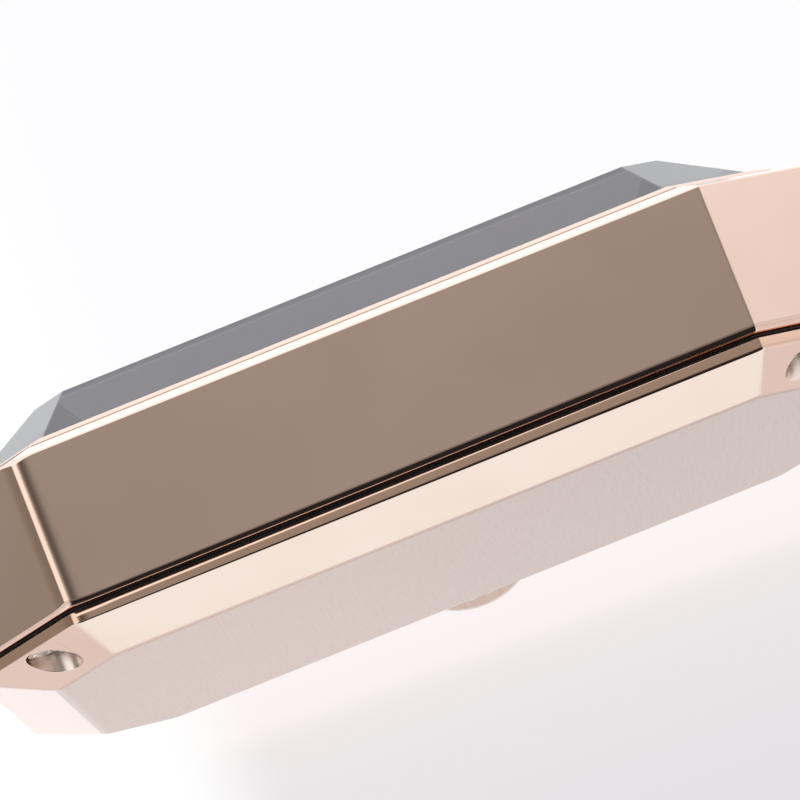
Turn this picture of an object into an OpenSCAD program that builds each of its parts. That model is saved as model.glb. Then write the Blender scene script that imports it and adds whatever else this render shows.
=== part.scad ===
// Octagonal case watch: head with a two hand quartz movement.
// The origin is the centre of the flat outer face of the case back.
// +Z runs from the case back to the crystal, +Y to 12 o'clock, +X to the crown.

/* [Case] */
// Width of the case across 9 and 3 o'clock
case_w = 20; // [19.6:0.1:22]
// Length of the case across 12 and 6 o'clock
case_l = 26; // [25:0.1:30]
// Length cut off the short sides by each corner facet
corner_x = 3.64; // [3:0.02:4.2]
// Length cut off the long sides by each corner facet
corner_y = 3.25; // [2.6:0.02:3.8]
// Height of the upright band
band_h = 4.13; // [4:0.01:5]
// Width of the sloping shoulder above the band
shoulder_w = 1.15; // [0.9:0.05:1.3]
// Rise of the shoulder
shoulder_rise = 0.38; // [0.3:0.02:0.6]
// Chamfer on the outer edges of the band
band_edge = 0.08; // [0.04:0.01:0.15]
// Thickness of the wall round the movement
wall_t = 1.9; // [1.8:0.05:2]
// Width of the ledge between the dial and the crystal
ledge_w = 1; // [0.7:0.05:1.2]

/* [Case back] */
// Distance from the band to the flat, on the long sides
flat_side = 2.27; // [1.9:0.01:2.5]
// Distance from the band to the flat, on the short sides
flat_end = 1.96; // [1.7:0.01:2.2]
// Distance from the band to the flat, on the corner facets
flat_corner = 1.93; // [1.7:0.01:2.2]
// Height of the slope on the long and short sides
slope_h_side = 1.05; // [0.9:0.01:1.2]
// Height of the slope on the corner facets
slope_h_corner = 0.84; // [0.7:0.01:1]
// Full height of the edge of the case back
back_edge_h = 1.28; // [1.25:0.01:1.5]
// Distance that the case back stands in from the band
back_step = 0.06; // [0.02:0.01:0.1]
// Thickness of the floor of the case back
back_floor_t = 0.85; // [0.7:0.01:0.95]
// Thickness of the rim that locates the case back in the case
rim_t = 0.6; // [0.4:0.05:0.7]
// Height of that rim above the edge
rim_h = 0.47; // [0.3:0.01:0.5]
// Thickness of the flat gasket, which is also the seam's width
seam_h = 0.09; // [0.06:0.01:0.14]
// Width of the flat gasket
seal_w = 0.35; // [0.2:0.05:0.4]

/* [Case back screws] */
// Distance from a corner facet to its screw's axis
screw_in = 0.86; // [0.82:0.01:0.95]
// Radius of the screw's head
screw_head_r = 0.64; // [0.5:0.01:0.68]
// Gap between the screw's head and its recess
screw_gap = 0.07; // [0.04:0.01:0.08]
// Height of the screw's head
screw_head_h = 0.3; // [0.2:0.02:0.34]
// Radius of the screw's shank
screw_r = 0.33; // [0.25:0.01:0.38]
// Length of the shank inside the case
screw_grip = 2; // [1.4:0.1:2.6]
// Clearance past the end of the shank
screw_end_gap = 0.1; // [0.05:0.01:0.2]
// Width of the cross slot
slot_w = 0.16; // [0.1:0.01:0.2]

/* [Crystal and bezel] */
// Distance from the band to the crystal, on the long sides
glass_side = 2.25; // [2.1:0.01:2.4]
// Distance from the band to the crystal, on the short sides
glass_end = 1.8; // [1.7:0.01:2]
// Distance from the band to the crystal, on the corner facets
glass_corner = 2.15; // [2:0.01:2.3]
// Width of the crystal's facet on the long sides
facet_side = 2.64; // [2:0.02:3]
// Width of the crystal's facet on the short sides
facet_end = 2.14; // [1.8:0.02:2.6]
// Width of the crystal's facet at the corners
facet_corner = 2.34; // [1.9:0.02:2.6]
// Height of the facets
facet_h = 1.43; // [1:0.01:1.8]
// Height of the crystal's upright edge
glass_edge_h = 0.6; // [0.5:0.01:0.8]
// Thickness of the gasket round the crystal
glass_seal_t = 0.2; // [0.1:0.02:0.26]
// Height of that gasket
glass_seal_h = 0.5; // [0.4:0.02:0.56]
// Step of the bezel above the shoulder
bezel_step = 0.06; // [0.02:0.01:0.12]
// Rise of the bezel's slope
bezel_rise = 0.23; // [0.15:0.01:0.3]
// Clearance between pieces that drop into each other
fit = 0.05; // [0.02:0.01:0.08]

/* [Dial and hands] */
// Thickness of the dial
dial_t = 0.3; // [0.2:0.02:0.36]
// Height of the hour markers
marker_h = 0.12; // [0.06:0.02:0.2]
// Length of an hour marker
marker_l = 1.3; // [0.8:0.1:1.6]
// Width of an hour marker
marker_w = 0.3; // [0.2:0.02:0.5]
// Distance from the edge of the dial opening to the markers
marker_in = 0.6; // [0.3:0.05:0.8]
// Length of the minute hand
minute_l = 6.2; // [5:0.1:6.5]
// Length of the hour hand
hour_l = 4.2; // [3:0.1:4.8]
// Width of the minute hand at its middle
minute_w = 0.44; // [0.3:0.02:0.6]
// Width of the hour hand at its middle
hour_w = 0.56; // [0.4:0.02:0.8]
// Thickness of a hand
hand_t = 0.13; // [0.1:0.01:0.16]
// Gap between the dial and the hour hand
hour_gap = 0.2; // [0.15:0.01:0.24]
// Gap between the two hands
hand_gap = 0.24; // [0.18:0.01:0.28]
// Tail of a hand past its axis
hand_tail = 1.3; // [0.95:0.05:1.8]
// Minutes past the hour that the hands show
show_minute = 9; // [0:1:59]
// Hour that the hands show
show_hour = 10; // [0:1:11]

/* [Crown and stem] */
// Height of the stem above the case back
stem_z = 2.8; // [2.76:0.01:2.9]
// Radius of the crown
crown_r = 2.35; // [2:0.05:2.5]
// Length of the crown
crown_l = 2.95; // [2.6:0.05:3.4]
// Gap between the case and the crown
crown_gap = 0.15; // [0.08:0.01:0.25]
// Travel of the crown when it is pulled out
crown_travel = 0.9; // [0.6:0.05:0.95]
// Number of flutes round the crown
flutes = 24; // [16:1:30]
// Radius of a flute
flute_r = 0.2; // [0.12:0.01:0.24]
// Radius of the crown tube
tube_r = 1; // [0.9:0.02:1.1]
// Radial clearance of the stem in the tube
tube_play = 0.05; // [0.03:0.01:0.08]
// Length of the tube outside the case
tube_out = 1.6; // [1.3:0.05:1.65]
// Radius of the stem at the tube
stem_r = 0.5; // [0.4:0.01:0.55]
// Radial clearance of a turning or sliding fit
run = 0.03; // [0.02:0.01:0.05]

/* [Movement] */
// Distance from the setting lever to the side of the movement
mov_edge_side = 0.55; // [0.4:0.01:0.7]
// Distance from the coil to the end of the movement
mov_edge_end = 0.48; // [0.4:0.01:0.8]
// Corner cut of the movement
mov_cut = 2.2; // [1.6:0.1:2.2]
// Thickness of the main plate
plate_t = 0.6; // [0.5:0.02:0.62]
// Thickness of the train bridge
bridge_t = 0.35; // [0.3:0.01:0.38]
// Gap between the case back and the train bridge
bridge_gap = 0.35; // [0.3:0.01:0.38]
// Radius of the battery
battery_r = 2.9; // [2.6:0.05:3.15]
// Thickness of the battery
battery_t = 1.6; // [1.5:0.02:1.76]
// Thickness of the insulating disc under the battery
film_t = 0.12; // [0.08:0.01:0.16]
// Distance from the battery to the side of the movement
battery_edge = 0.35; // [0.3:0.01:0.5]
// Radius of the bridge screws' heads
bridge_screw_r = 0.6; // [0.5:0.02:0.65]
// Radius of an arbor
arbor_r = 0.12; // [0.1:0.01:0.13]
// Radius of a pivot
pivot_r = 0.08; // [0.05:0.01:0.09]
// Radius of the coil
coil_r = 0.57; // [0.4:0.01:0.58]
// Length of the coil
coil_l = 6.2; // [5.6:0.1:6.8]
// Radius of the rotor's magnet
magnet_r = 0.65; // [0.5:0.01:0.7]

/* [Strap lugs] */
// Width of a lug
lug_w = 7; // [6:0.1:8]
// Distance that a lug stands out from the case
lug_out = 2.6; // [2.2:0.1:3.2]
// Radius of the bore for the strap bar
bar_r = 0.6; // [0.4:0.05:0.8]

/* [Hidden] */
$fn = 48;
// Overshoot of a cut past the face that it opens
cut = 0.2;

// Colours
rose_gold = [0.86, 0.68, 0.58];
steel = [0.72, 0.73, 0.75];
brass = [0.80, 0.66, 0.36];
black = [0.08, 0.08, 0.09];

// Direction and distance of the corner facets
corner_len = sqrt(corner_x * corner_x + corner_y * corner_y);
corner_nx = corner_y / corner_len;
corner_ny = corner_x / corner_len;
corner_d = corner_nx * case_w / 2 + corner_ny * (case_l / 2 - corner_y);

// Heights of the case, from the case back up
band_z = back_edge_h + seam_h;
shoulder_z = band_z + band_h;
rebate_z = shoulder_z + shoulder_rise;
glass_top_edge = rebate_z + bezel_step + bezel_rise;
glass_z = glass_top_edge - glass_edge_h;
rim_top = back_edge_h + rim_h;

// Stack of the battery: film, clamp, battery and main plate, with a gap at each face
film_gap = 0.03;
clamp_t = 0.1;
battery_gap = 0.05;
battery_z = back_floor_t + film_t + film_gap + clamp_t;
bridge_z = back_floor_t + bridge_gap;
train_z = bridge_z + bridge_t;
plate_z = battery_z + battery_t + battery_gap;
plate_top = plate_z + plate_t;
train_h = plate_z - train_z;

// Wheels between the main plate and the dial
minute_lift = 0.1;
minute_t = 0.15;
minute_pinion_h = 0.3;
under_dial = 0.15;
washer_t = 0.1;
washer_gap = 0.02;
hour_wheel_t = 0.14;
hour_wheel_gap = 0.06;
dial_z = plate_top + minute_lift + minute_t + minute_pinion_h + under_dial;
dial_top = dial_z + dial_t;
hour_wheel_z = dial_z - washer_gap - washer_t - hour_wheel_gap - hour_wheel_t;
hour_hand_z = dial_top + hour_gap;
minute_hand_z = hour_hand_z + hand_t + hand_gap;

// Pipes of the two hands
hour_pipe_r = 0.75;
hour_pipe_bore = 0.5;
cannon_r = hour_pipe_bore - run;
cannon_bore = 0.26;
pipe_hole_r = hour_pipe_r + 0.1;

// Levels of the wheels in the train
wheel_t = 0.1;
pinion_more = 0.08;
level_a = train_z + 0.07;
level_b = train_z + 0.27;
level_c = train_z + 0.5;
level_d = train_z + 0.8;

// Teeth and modules, and the depth and height of a tooth in modules
tooth_root = 1.15;
tooth_tip = 0.75;
centre_teeth = 64;
third_pinion_teeth = 8;
third_teeth = 60;
fourth_pinion_teeth = 8;
fourth_teeth = 40;
fifth_pinion_teeth = 8;
fifth_teeth = 48;
rotor_teeth = 8;
cannon_teeth = 12;
minute_teeth = 36;
minute_pinion_teeth = 10;
hour_teeth = 40;
setting_teeth = 14;
mod_centre = 0.1;
mod_third = 0.09;
mod_fourth = 0.09;
mod_fifth = 0.08;
mod_cannon = 0.1;
mod_setting = 0.1;
minute_distance = mod_cannon * (cannon_teeth + minute_teeth) / 2;
mod_hour = 2 * minute_distance / (minute_pinion_teeth + hour_teeth);

// Directions from each wheel to the next
dir_third = 60;
dir_fourth = 150;
dir_fifth = 190;
dir_rotor = 120;
dir_minute = -45;

function step_to(p, d, a) = [p[0] + d * cos(a), p[1] + d * sin(a)];
function gear_gap(m, a, b) = m * (a + b) / 2;

third_at = step_to([0, 0], gear_gap(mod_centre, centre_teeth, third_pinion_teeth), dir_third);
fourth_at = step_to(third_at, gear_gap(mod_third, third_teeth, fourth_pinion_teeth), dir_fourth);
fifth_at = step_to(fourth_at, gear_gap(mod_fourth, fourth_teeth, fifth_pinion_teeth), dir_fifth);
rotor_at = step_to(fifth_at, gear_gap(mod_fifth, fifth_teeth, rotor_teeth), dir_rotor);
minute_at = step_to([0, 0], minute_distance, dir_minute);

// Turn of a gear so that its teeth fall in the gaps of the one before it
function mesh(a, turn, teeth, next) = a + 180 - (0.5 - (a - turn) * teeth / 360) * 360 / next;

third_pinion_turn = mesh(dir_third, 0, centre_teeth, third_pinion_teeth);
fourth_pinion_turn = mesh(dir_fourth, 0, third_teeth, fourth_pinion_teeth);
fifth_pinion_turn = mesh(dir_fifth, 0, fourth_teeth, fifth_pinion_teeth);
rotor_turn = mesh(dir_rotor, 0, fifth_teeth, rotor_teeth);
minute_turn = mesh(dir_minute, 0, cannon_teeth, minute_teeth);
hour_turn = mesh(dir_minute + 180, 0, minute_pinion_teeth, hour_teeth);

// Crown and tube along X
crown_x = case_w / 2 + crown_gap;
tube_in_x = case_w / 2 - wall_t + 0.02;
tube_bore_r = stem_r + tube_play;
tube_press = 0.01;
crown_wall_gap = 0.35;
crown_end_gap = 0.3;
crown_bore_l = tube_out - crown_gap + crown_end_gap;
stem_grip = 0.6;
stem_tip_r = stem_r - 0.08;

// Stem, setting pinion and setting lever: the pinion stands clear of the centre wheel,
// and the lever's pin swings the same way to each side of the pivot's line
centre_r = mod_centre * (centre_teeth / 2 + tooth_tip);
wheel_clear = 0.475;
pinion_x = centre_r + wheel_clear;
pinion_l = 1.1;
pinion_t = 0.5;
pinion_hub_r = 0.55;
pinion_bore = 0.36;
stem_in_x = pinion_x - 0.3;
groove_w = 0.5;
groove_r = 0.3;
collar_l = 0.1;
groove_x = pinion_x + pinion_l + 0.1 + collar_l + groove_w;
lever_at = [groove_x + crown_travel / 2, 2.9];
lever_pin_r = 0.2;
lever_pin_gap = 0.1;
lever_pin_y = groove_r + lever_pin_r + lever_pin_gap;
lever_stud_r = 0.35;
lever_ring_r = 0.6;
lever_eye_r = 0.3;
lever_z = level_b - 0.07;
lever_t = 0.25;

// Motor: the coil lies past the rotor and ends short of the corner of the movement
core_w = 0.7;
core_t = 0.4;
core_end = 1.2;
core_gap = 0.0875;
rotor_gap = 0.2;
coil_y = rotor_at[1] + magnet_r + rotor_gap + core_gap + core_w / 2;
half_w = lever_at[0] + lever_ring_r + mov_edge_side;
corner_room = 2.15;
coil_x = half_w - corner_room - core_end - coil_l;
stator_t = 0.4;
stator_z = plate_z - stator_t;
coil_z = stator_z - core_t / 2;

// Battery: it lies beside the edge of the movement and clear of the centre wheel
battery_clear = 0.15;
battery_step = 0.25;
battery_foot_r = battery_r - 0.35;
battery_x = battery_r + battery_edge - half_w;
battery_at = [battery_x, -sqrt(pow(centre_r + battery_r + battery_clear, 2) - pow(battery_x, 2))];
clamp_w = 1.2;
clamp_play = 0.08;
half_l = max(coil_y + coil_r + mov_edge_end, battery_r - battery_at[1] + mov_edge_side);

// Places of the movement's other fixed parts
screw_at = [[5.2, 4.6], [-5.6, 3.2], [4.4, -1.8], [-5.4, -0.9]];
pillar_r = 0.7;
thread_r = 0.3;
thread_l = 1.4;
bridge_head_h = 0.18;
bridge_slot_w = 0.16;
board_z = bridge_z + 0.05;
board_t = 0.25;
board_posts = [[3.6, -7.3], [1, -4.2]];
post_r = 0.4;
chip_at = [2.3, -5.4];
chip_w = 1.8;
chip_h = 0.5;
can_at = [5.3, -5.2];
can_r = 0.5;
can_l = 3.6;
minute_stud_r = 0.25;
pivot_in = 0.3;
pivot_end = 0.1;
arbor_end = 0.05;

// Strap lugs, centred on the height of the band
lug_h = 3;
lug_z = band_z + band_h / 2;

// Octagon with given half width, half length and distance of the corner facets
function oct(hx, hy, hc) =
    let (ya = (hc - corner_nx * hx) / corner_ny, xb = (hc - corner_ny * hy) / corner_nx)
    [[hx, -ya], [hx, ya], [xb, hy], [-xb, hy], [-hx, ya], [-hx, -ya], [-xb, -hy], [xb, -hy]];

// Octagon of the case, drawn in by a distance for each kind of side
function inset(s, e, c) = oct(case_w / 2 - s, case_l / 2 - e, corner_d - c);

module ring_prism(outer, inner, z, h) {
    translate([0, 0, z])
        linear_extrude(h)
            difference() {
                polygon(outer);
                polygon(inner);
            }
}

module prism(points, z, h) {
    translate([0, 0, z])
        linear_extrude(h)
            polygon(points);
}

// Solid between two octagons at two heights
module loft(low, z_low, high, z_high) {
    sides = [for (i = [0:7]) [i, i + 8, (i + 1) % 8 + 8, (i + 1) % 8]];
    polyhedron(
        points = concat([for (p = low) [p[0], p[1], z_low]], [for (p = high) [p[0], p[1], z_high]]),
        faces = concat([[0, 1, 2, 3, 4, 5, 6, 7], [15, 14, 13, 12, 11, 10, 9, 8]], sides));
}

// Points of one tooth: root, tip, tip, root
function tooth(r_root, r_tip, a, pitch) = [
    for (k = [[r_root, -0.29], [r_tip, -0.1], [r_tip, 0.1], [r_root, 0.29]])
        [k[0] * cos(a + k[1] * pitch), k[0] * sin(a + k[1] * pitch)]];

module gear(teeth, m, t, turn = 0) {
    rotate([0, 0, turn])
        linear_extrude(t)
            polygon([for (i = [0:teeth - 1])
                each tooth(m * (teeth / 2 - tooth_root), m * (teeth / 2 + tooth_tip),
                           i * 360 / teeth, 360 / teeth)]);
}

// Arbor with a pivot at each end, from the bridge into the main plate
module arbor(low_gap) {
    translate([0, 0, train_z + low_gap])
        cylinder(h = train_h - arbor_end - low_gap, r = arbor_r);
    translate([0, 0, bridge_z + pivot_end])
        cylinder(h = plate_z + pivot_in - bridge_z - pivot_end, r = pivot_r);
}

module pivot_hole(at, z, h) {
    translate([at[0], at[1], z])
        cylinder(h = h, r = pivot_r + run);
}

// Places of the four case back screws, at the middle of each corner facet
function corner_mid(sx, sy) =
    [sx * (case_w / 2 - corner_x / 2 - corner_nx * screw_in),
     sy * (case_l / 2 - corner_y / 2 - corner_ny * screw_in)];
back_screw_at = [for (sx = [-1, 1], sy = [-1, 1]) corner_mid(sx, sy)];
screw_recess_r = screw_head_r + screw_gap;
// The head's face lies level with the outer lip of its recess in the slope
screw_head_z = slope_h_corner * (1 - (screw_in - screw_recess_r - back_step) / (flat_corner - back_step));

module along_x(x) {
    translate([x, 0, stem_z])
        rotate([0, 90, 0])
            children();
}

module case_middle() {
    color(rose_gold)
        difference() {
            union() {
                loft(inset(band_edge, band_edge, band_edge), band_z,
                     inset(0, 0, 0), band_z + band_edge);
                prism(inset(0, 0, 0), band_z + band_edge, band_h - band_edge);
                loft(inset(0, 0, 0), shoulder_z,
                     inset(shoulder_w, shoulder_w, shoulder_w), rebate_z);
            }
            prism(inset(wall_t, wall_t, wall_t), band_z - cut, dial_top - band_z + cut);
            prism(inset(wall_t + ledge_w, wall_t + ledge_w, wall_t + ledge_w), band_z, glass_z);
            prism(inset(shoulder_w, shoulder_w, shoulder_w), glass_z, glass_top_edge);
            for (p = back_screw_at)
                translate([p[0], p[1], band_z - cut])
                    cylinder(h = screw_grip + cut, r = screw_r + run);
            along_x(case_w / 2 - wall_t - cut)
                cylinder(h = wall_t + 2 * cut, r = tube_r);
        }
}

module bezel() {
    color(rose_gold)
        difference() {
            union() {
                prism(inset(shoulder_w + fit, shoulder_w + fit, shoulder_w + fit), glass_z,
                      rebate_z + bezel_step - glass_z);
                loft(inset(shoulder_w + fit, shoulder_w + fit, shoulder_w + fit), rebate_z + bezel_step,
                     inset(glass_side - glass_seal_t, glass_end - glass_seal_t,
                           glass_corner - glass_seal_t), glass_top_edge);
            }
            prism(inset(glass_side - glass_seal_t, glass_end - glass_seal_t,
                        glass_corner - glass_seal_t), glass_z - cut, glass_edge_h + 2 * cut);
        }
}

module crystal() {
    color([0.55, 0.56, 0.6, 0.4])
        union() {
            prism(inset(glass_side, glass_end, glass_corner), glass_z, glass_edge_h);
            loft(inset(glass_side, glass_end, glass_corner), glass_top_edge,
                 inset(glass_side + facet_side, glass_end + facet_end, glass_corner + facet_corner),
                 glass_top_edge + facet_h);
        }
}

module crystal_gasket() {
    color([0.85, 0.84, 0.82])
        ring_prism(inset(glass_side - glass_seal_t, glass_end - glass_seal_t,
                         glass_corner - glass_seal_t),
                   inset(glass_side, glass_end, glass_corner), glass_z, glass_seal_h);
}

// Outline of the case back at a height on its slopes
function slope_at(z) =
    inset(flat_side - (flat_side - back_step) * z / slope_h_side,
          flat_end - (flat_end - back_step) * z / slope_h_side,
          flat_corner - (flat_corner - back_step) * z / slope_h_corner);

module caseback() {
    rim_in = wall_t + fit;
    color(rose_gold)
        difference() {
            union() {
                intersection() {
                    loft(slope_at(0), 0, slope_at(back_edge_h), back_edge_h);
                    prism(inset(back_step, back_step, back_step), 0, back_edge_h);
                }
                prism(inset(rim_in, rim_in, rim_in), back_edge_h, rim_h);
            }
            prism(inset(rim_in + rim_t, rim_in + rim_t, rim_in + rim_t), back_floor_t,
                  rim_top - back_floor_t + cut);
            prism(mov(2 * fit), back_floor_t, rim_top - back_floor_t + cut);
            for (p = back_screw_at)
                translate([p[0], p[1], 0]) {
                    translate([0, 0, -cut])
                        cylinder(h = screw_head_z + screw_head_h + cut, r = screw_recess_r);
                    cylinder(h = back_edge_h + cut, r = screw_r + fit);
                }
        }
}

module caseback_gasket() {
    g = wall_t - seal_w;
    color(black)
        ring_prism(inset(g, g, g), inset(wall_t, wall_t, wall_t), back_edge_h, seam_h);
}

module caseback_screws() {
    color(steel)
        for (p = back_screw_at)
            translate([p[0], p[1], screw_head_z])
                difference() {
                    union() {
                        cylinder(h = screw_head_h, r = screw_head_r);
                        cylinder(h = band_z + screw_grip - screw_end_gap - screw_head_z, r = screw_r);
                    }
                    for (a = [30, 120])
                        rotate([0, 0, a])
                            translate([-screw_head_r, -slot_w / 2, -cut])
                                cube([2 * screw_head_r, slot_w, cut + screw_head_h / 2]);
                }
}

module crown_tube() {
    color(steel)
        along_x(tube_in_x)
            difference() {
                cylinder(h = case_w / 2 + tube_out - tube_in_x, r = tube_r - tube_press);
                translate([0, 0, -cut])
                    cylinder(h = case_w / 2 + tube_out - tube_in_x + 2 * cut, r = tube_bore_r);
            }
}

// A rounded block on the +Y side, with a cross bore
module strap_lug() {
    difference() {
        union() {
            translate([-lug_w / 2, case_l / 2, lug_z - lug_h / 2])
                cube([lug_w, lug_out - lug_h / 2, lug_h]);
            translate([-lug_w / 2, case_l / 2 + lug_out - lug_h / 2, lug_z])
                rotate([0, 90, 0])
                    cylinder(h = lug_w, r = lug_h / 2);
        }
        translate([-lug_w, case_l / 2 - lug_h, lug_z - lug_h])
            cube([2 * lug_w, lug_h, 2 * lug_h]);
        translate([-lug_w / 2 - cut, case_l / 2 + lug_out - lug_h / 2, lug_z])
            rotate([0, 90, 0])
                cylinder(h = lug_w + 2 * cut, r = bar_r);
    }
}

module strap_lug_12() {
    color(rose_gold)
        strap_lug();
}

module strap_lug_6() {
    color(rose_gold)
        mirror([0, 1, 0])
            strap_lug();
}

module dial() {
    d = wall_t + fit;
    color(black)
        difference() {
            prism(inset(d, d, d), dial_z, dial_t);
            translate([0, 0, dial_z - cut])
                cylinder(h = dial_t + 2 * cut, r = pipe_hole_r);
        }
}

// Half width and half length of the dial opening, and distance along a ray to its edge
open_w = case_w / 2 - wall_t - ledge_w - marker_in;
open_l = case_l / 2 - wall_t - ledge_w - marker_in;
open_c = corner_d - wall_t - ledge_w - marker_in;
function ray(a) =
    min(open_w / max(abs(sin(a)), 0.01), open_l / max(abs(cos(a)), 0.01),
        open_c / (corner_nx * abs(sin(a)) + corner_ny * abs(cos(a))));

module hour_markers() {
    color(rose_gold)
        for (hour = [0:11])
            rotate([0, 0, -hour * 30])
                translate([-marker_w / 2, ray(hour * 30) - marker_l, dial_top])
                    cube([marker_w, marker_l, marker_h]);
}

module dial_washer() {
    color(brass)
        translate([0, 0, dial_z - washer_gap - washer_t])
            difference() {
                cylinder(h = washer_t, r = 2 * hour_pipe_r);
                translate([0, 0, -cut])
                    cylinder(h = washer_t + 2 * cut, r = pipe_hole_r);
            }
}

// Outline of the movement, grown by a distance
function mov(g) =
    let (x = half_w + g, y = half_l + g, c = mov_cut)
    [[x, c - y], [x, y - c], [x - c, y], [c - x, y], [-x, y - c], [-x, c - y], [c - x, -y], [x - c, -y]];

module movement_holder() {
    h = wall_t + fit;
    lip = 0.5;
    stem_room = 0.2;
    color([0.9, 0.9, 0.88])
        difference() {
            prism(inset(h, h, h), rim_top, dial_z - rim_top);
            prism(mov(fit), rim_top - cut, plate_top - rim_top + cut);
            prism(mov(-lip), plate_top - cut, dial_z - plate_top + 2 * cut);
            along_x(half_w - cut)
                cylinder(h = case_w / 2, r = stem_r + stem_room);
        }
}

module main_plate() {
    stem_slot_w = 2;
    stem_slot_end = 0.1;
    centre_room = 0.1;
    color(brass)
        difference() {
            union() {
                prism(mov(0), plate_z, plate_t);
                for (p = screw_at)
                    translate([p[0], p[1], train_z])
                        cylinder(h = train_h, r = pillar_r);
                for (p = board_posts)
                    translate([p[0], p[1], board_z + board_t])
                        cylinder(h = plate_z - board_z - board_t, r = post_r);
                translate([lever_at[0], lever_at[1], train_z])
                    cylinder(h = train_h, r = lever_stud_r);
                translate([minute_at[0], minute_at[1], plate_top])
                    cylinder(h = dial_z - plate_top - minute_lift, r = minute_stud_r);
            }
            translate([stem_in_x - stem_slot_end, -stem_slot_w / 2, plate_z - cut])
                cube([2 * half_w, stem_slot_w, plate_t + 2 * cut]);
            translate([0, 0, plate_z - cut])
                cylinder(h = plate_t + 2 * cut, r = cannon_bore + centre_room);
            for (p = [third_at, fourth_at, fifth_at, rotor_at])
                pivot_hole(p, plate_z - cut, pivot_in + pivot_end + cut);
            for (p = screw_at)
                translate([p[0], p[1], train_z - cut])
                    cylinder(h = thread_l + cut, r = thread_r);
        }
}

// Plan of the train bridge, in outline order
bridge_plan = [[-6.3, -1.7], [-1.4, -1.7], [3.2, -2.7], [5.3, -2.7], [6.2, -1.6], [6.4, 3.2],
               [6.2, 5], [4.8, 5.6], [-2, 5.9], [-3, 7.1], [-5, 7.1], [-6.3, 5.6]];

module train_bridge() {
    color(steel)
        difference() {
            prism(bridge_plan, bridge_z, bridge_t);
            for (p = [[0, 0], third_at, fourth_at, fifth_at, rotor_at])
                pivot_hole(p, bridge_z - cut, bridge_t + 2 * cut);
            for (p = screw_at)
                translate([p[0], p[1], bridge_z - cut]) {
                    cylinder(h = cut + bridge_head_h, r = bridge_screw_r + fit);
                    cylinder(h = bridge_t + 2 * cut, r = thread_r + fit);
                }
        }
}

module bridge_screws() {
    thread_gap = 0.1;
    color(steel)
        for (p = screw_at)
            translate([p[0], p[1], bridge_z])
                difference() {
                    union() {
                        cylinder(h = bridge_head_h, r = bridge_screw_r);
                        cylinder(h = bridge_t + thread_l - thread_gap, r = thread_r - 0.01);
                    }
                    translate([-bridge_screw_r, -bridge_slot_w / 2, -cut])
                        cube([2 * bridge_screw_r, bridge_slot_w, cut + bridge_head_h / 2]);
                }
}

// Plan of the circuit board, in outline order
board_plan = [[0.3, -8], [4.7, -8], [6.4, -6.3], [6.4, -3], [0.3, -3.6]];

module circuit_board() {
    color([0.1, 0.35, 0.2])
        prism(board_plan, board_z, board_t);
}

module circuit_chip() {
    color(black)
        translate([chip_at[0] - chip_w / 2, chip_at[1] - chip_w / 2, board_z + board_t])
            cube([chip_w, chip_w, chip_h]);
}

module quartz_can() {
    color(steel)
        translate([can_at[0], can_at[1] - can_l / 2, board_z + board_t + can_r])
            rotate([-90, 0, 0])
                cylinder(h = can_l, r = can_r);
}

module coil_core() {
    color(steel)
        translate([coil_x - core_end, coil_y - core_w / 2, coil_z - core_t / 2])
            cube([coil_l + 2 * core_end, core_w, core_t]);
}

module motor_coil() {
    play = 0.02;
    color([0.72, 0.4, 0.2])
        translate([coil_x, coil_y, coil_z])
            difference() {
                rotate([0, 90, 0])
                    cylinder(h = coil_l, r = coil_r);
                translate([-cut, -core_w / 2 - play, -core_t / 2 - play])
                    cube([coil_l + 2 * cut, core_w + 2 * play, core_t + 2 * play]);
            }
}

// The stator joins both ends of the core and closes round the rotor
module stator() {
    left = coil_x - core_end;
    right = coil_x + coil_l + core_end;
    foot_w = 1;
    top = coil_y + core_w / 2 + 0.15;
    bar_top = coil_y - 0.8;
    plan = [[rotor_at[0] - 1.5, rotor_at[1] - 1.1], [rotor_at[0] + 1.6, rotor_at[1] - 0.6],
            [right - 0.9, bar_top - 0.9], [right, bar_top - 0.3], [right, top],
            [right - foot_w, top], [right - foot_w, bar_top], [left + foot_w, bar_top],
            [left + foot_w, top], [left, top], [rotor_at[0] - 1.5, rotor_at[1] + 0.9]];
    color(steel)
        difference() {
            prism(plan, stator_z, stator_t);
            translate([rotor_at[0], rotor_at[1], stator_z - cut])
                cylinder(h = stator_t + 2 * cut, r = magnet_r + rotor_gap);
        }
}

module battery() {
    color(steel)
        translate([battery_at[0], battery_at[1], battery_z])
            union() {
                cylinder(h = battery_step, r = battery_foot_r);
                translate([0, 0, battery_step])
                    cylinder(h = battery_t - battery_step, r = battery_r);
            }
}

module battery_clamp() {
    reach = battery_r + clamp_play;
    color(brass)
        translate([battery_at[0], battery_at[1] - clamp_w / 2, battery_z - clamp_t]) {
            translate([-reach - clamp_t, 0, 0])
                cube([2 * reach + 2 * clamp_t, clamp_w, clamp_t]);
            for (x = [-reach - clamp_t, reach])
                translate([x, 0, clamp_t])
                    cube([clamp_t, clamp_w, plate_z - battery_z]);
        }
}

module battery_insulator() {
    color([0.85, 0.65, 0.3])
        translate([battery_at[0], battery_at[1], back_floor_t])
            cylinder(h = film_t, r = battery_r);
}

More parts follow.
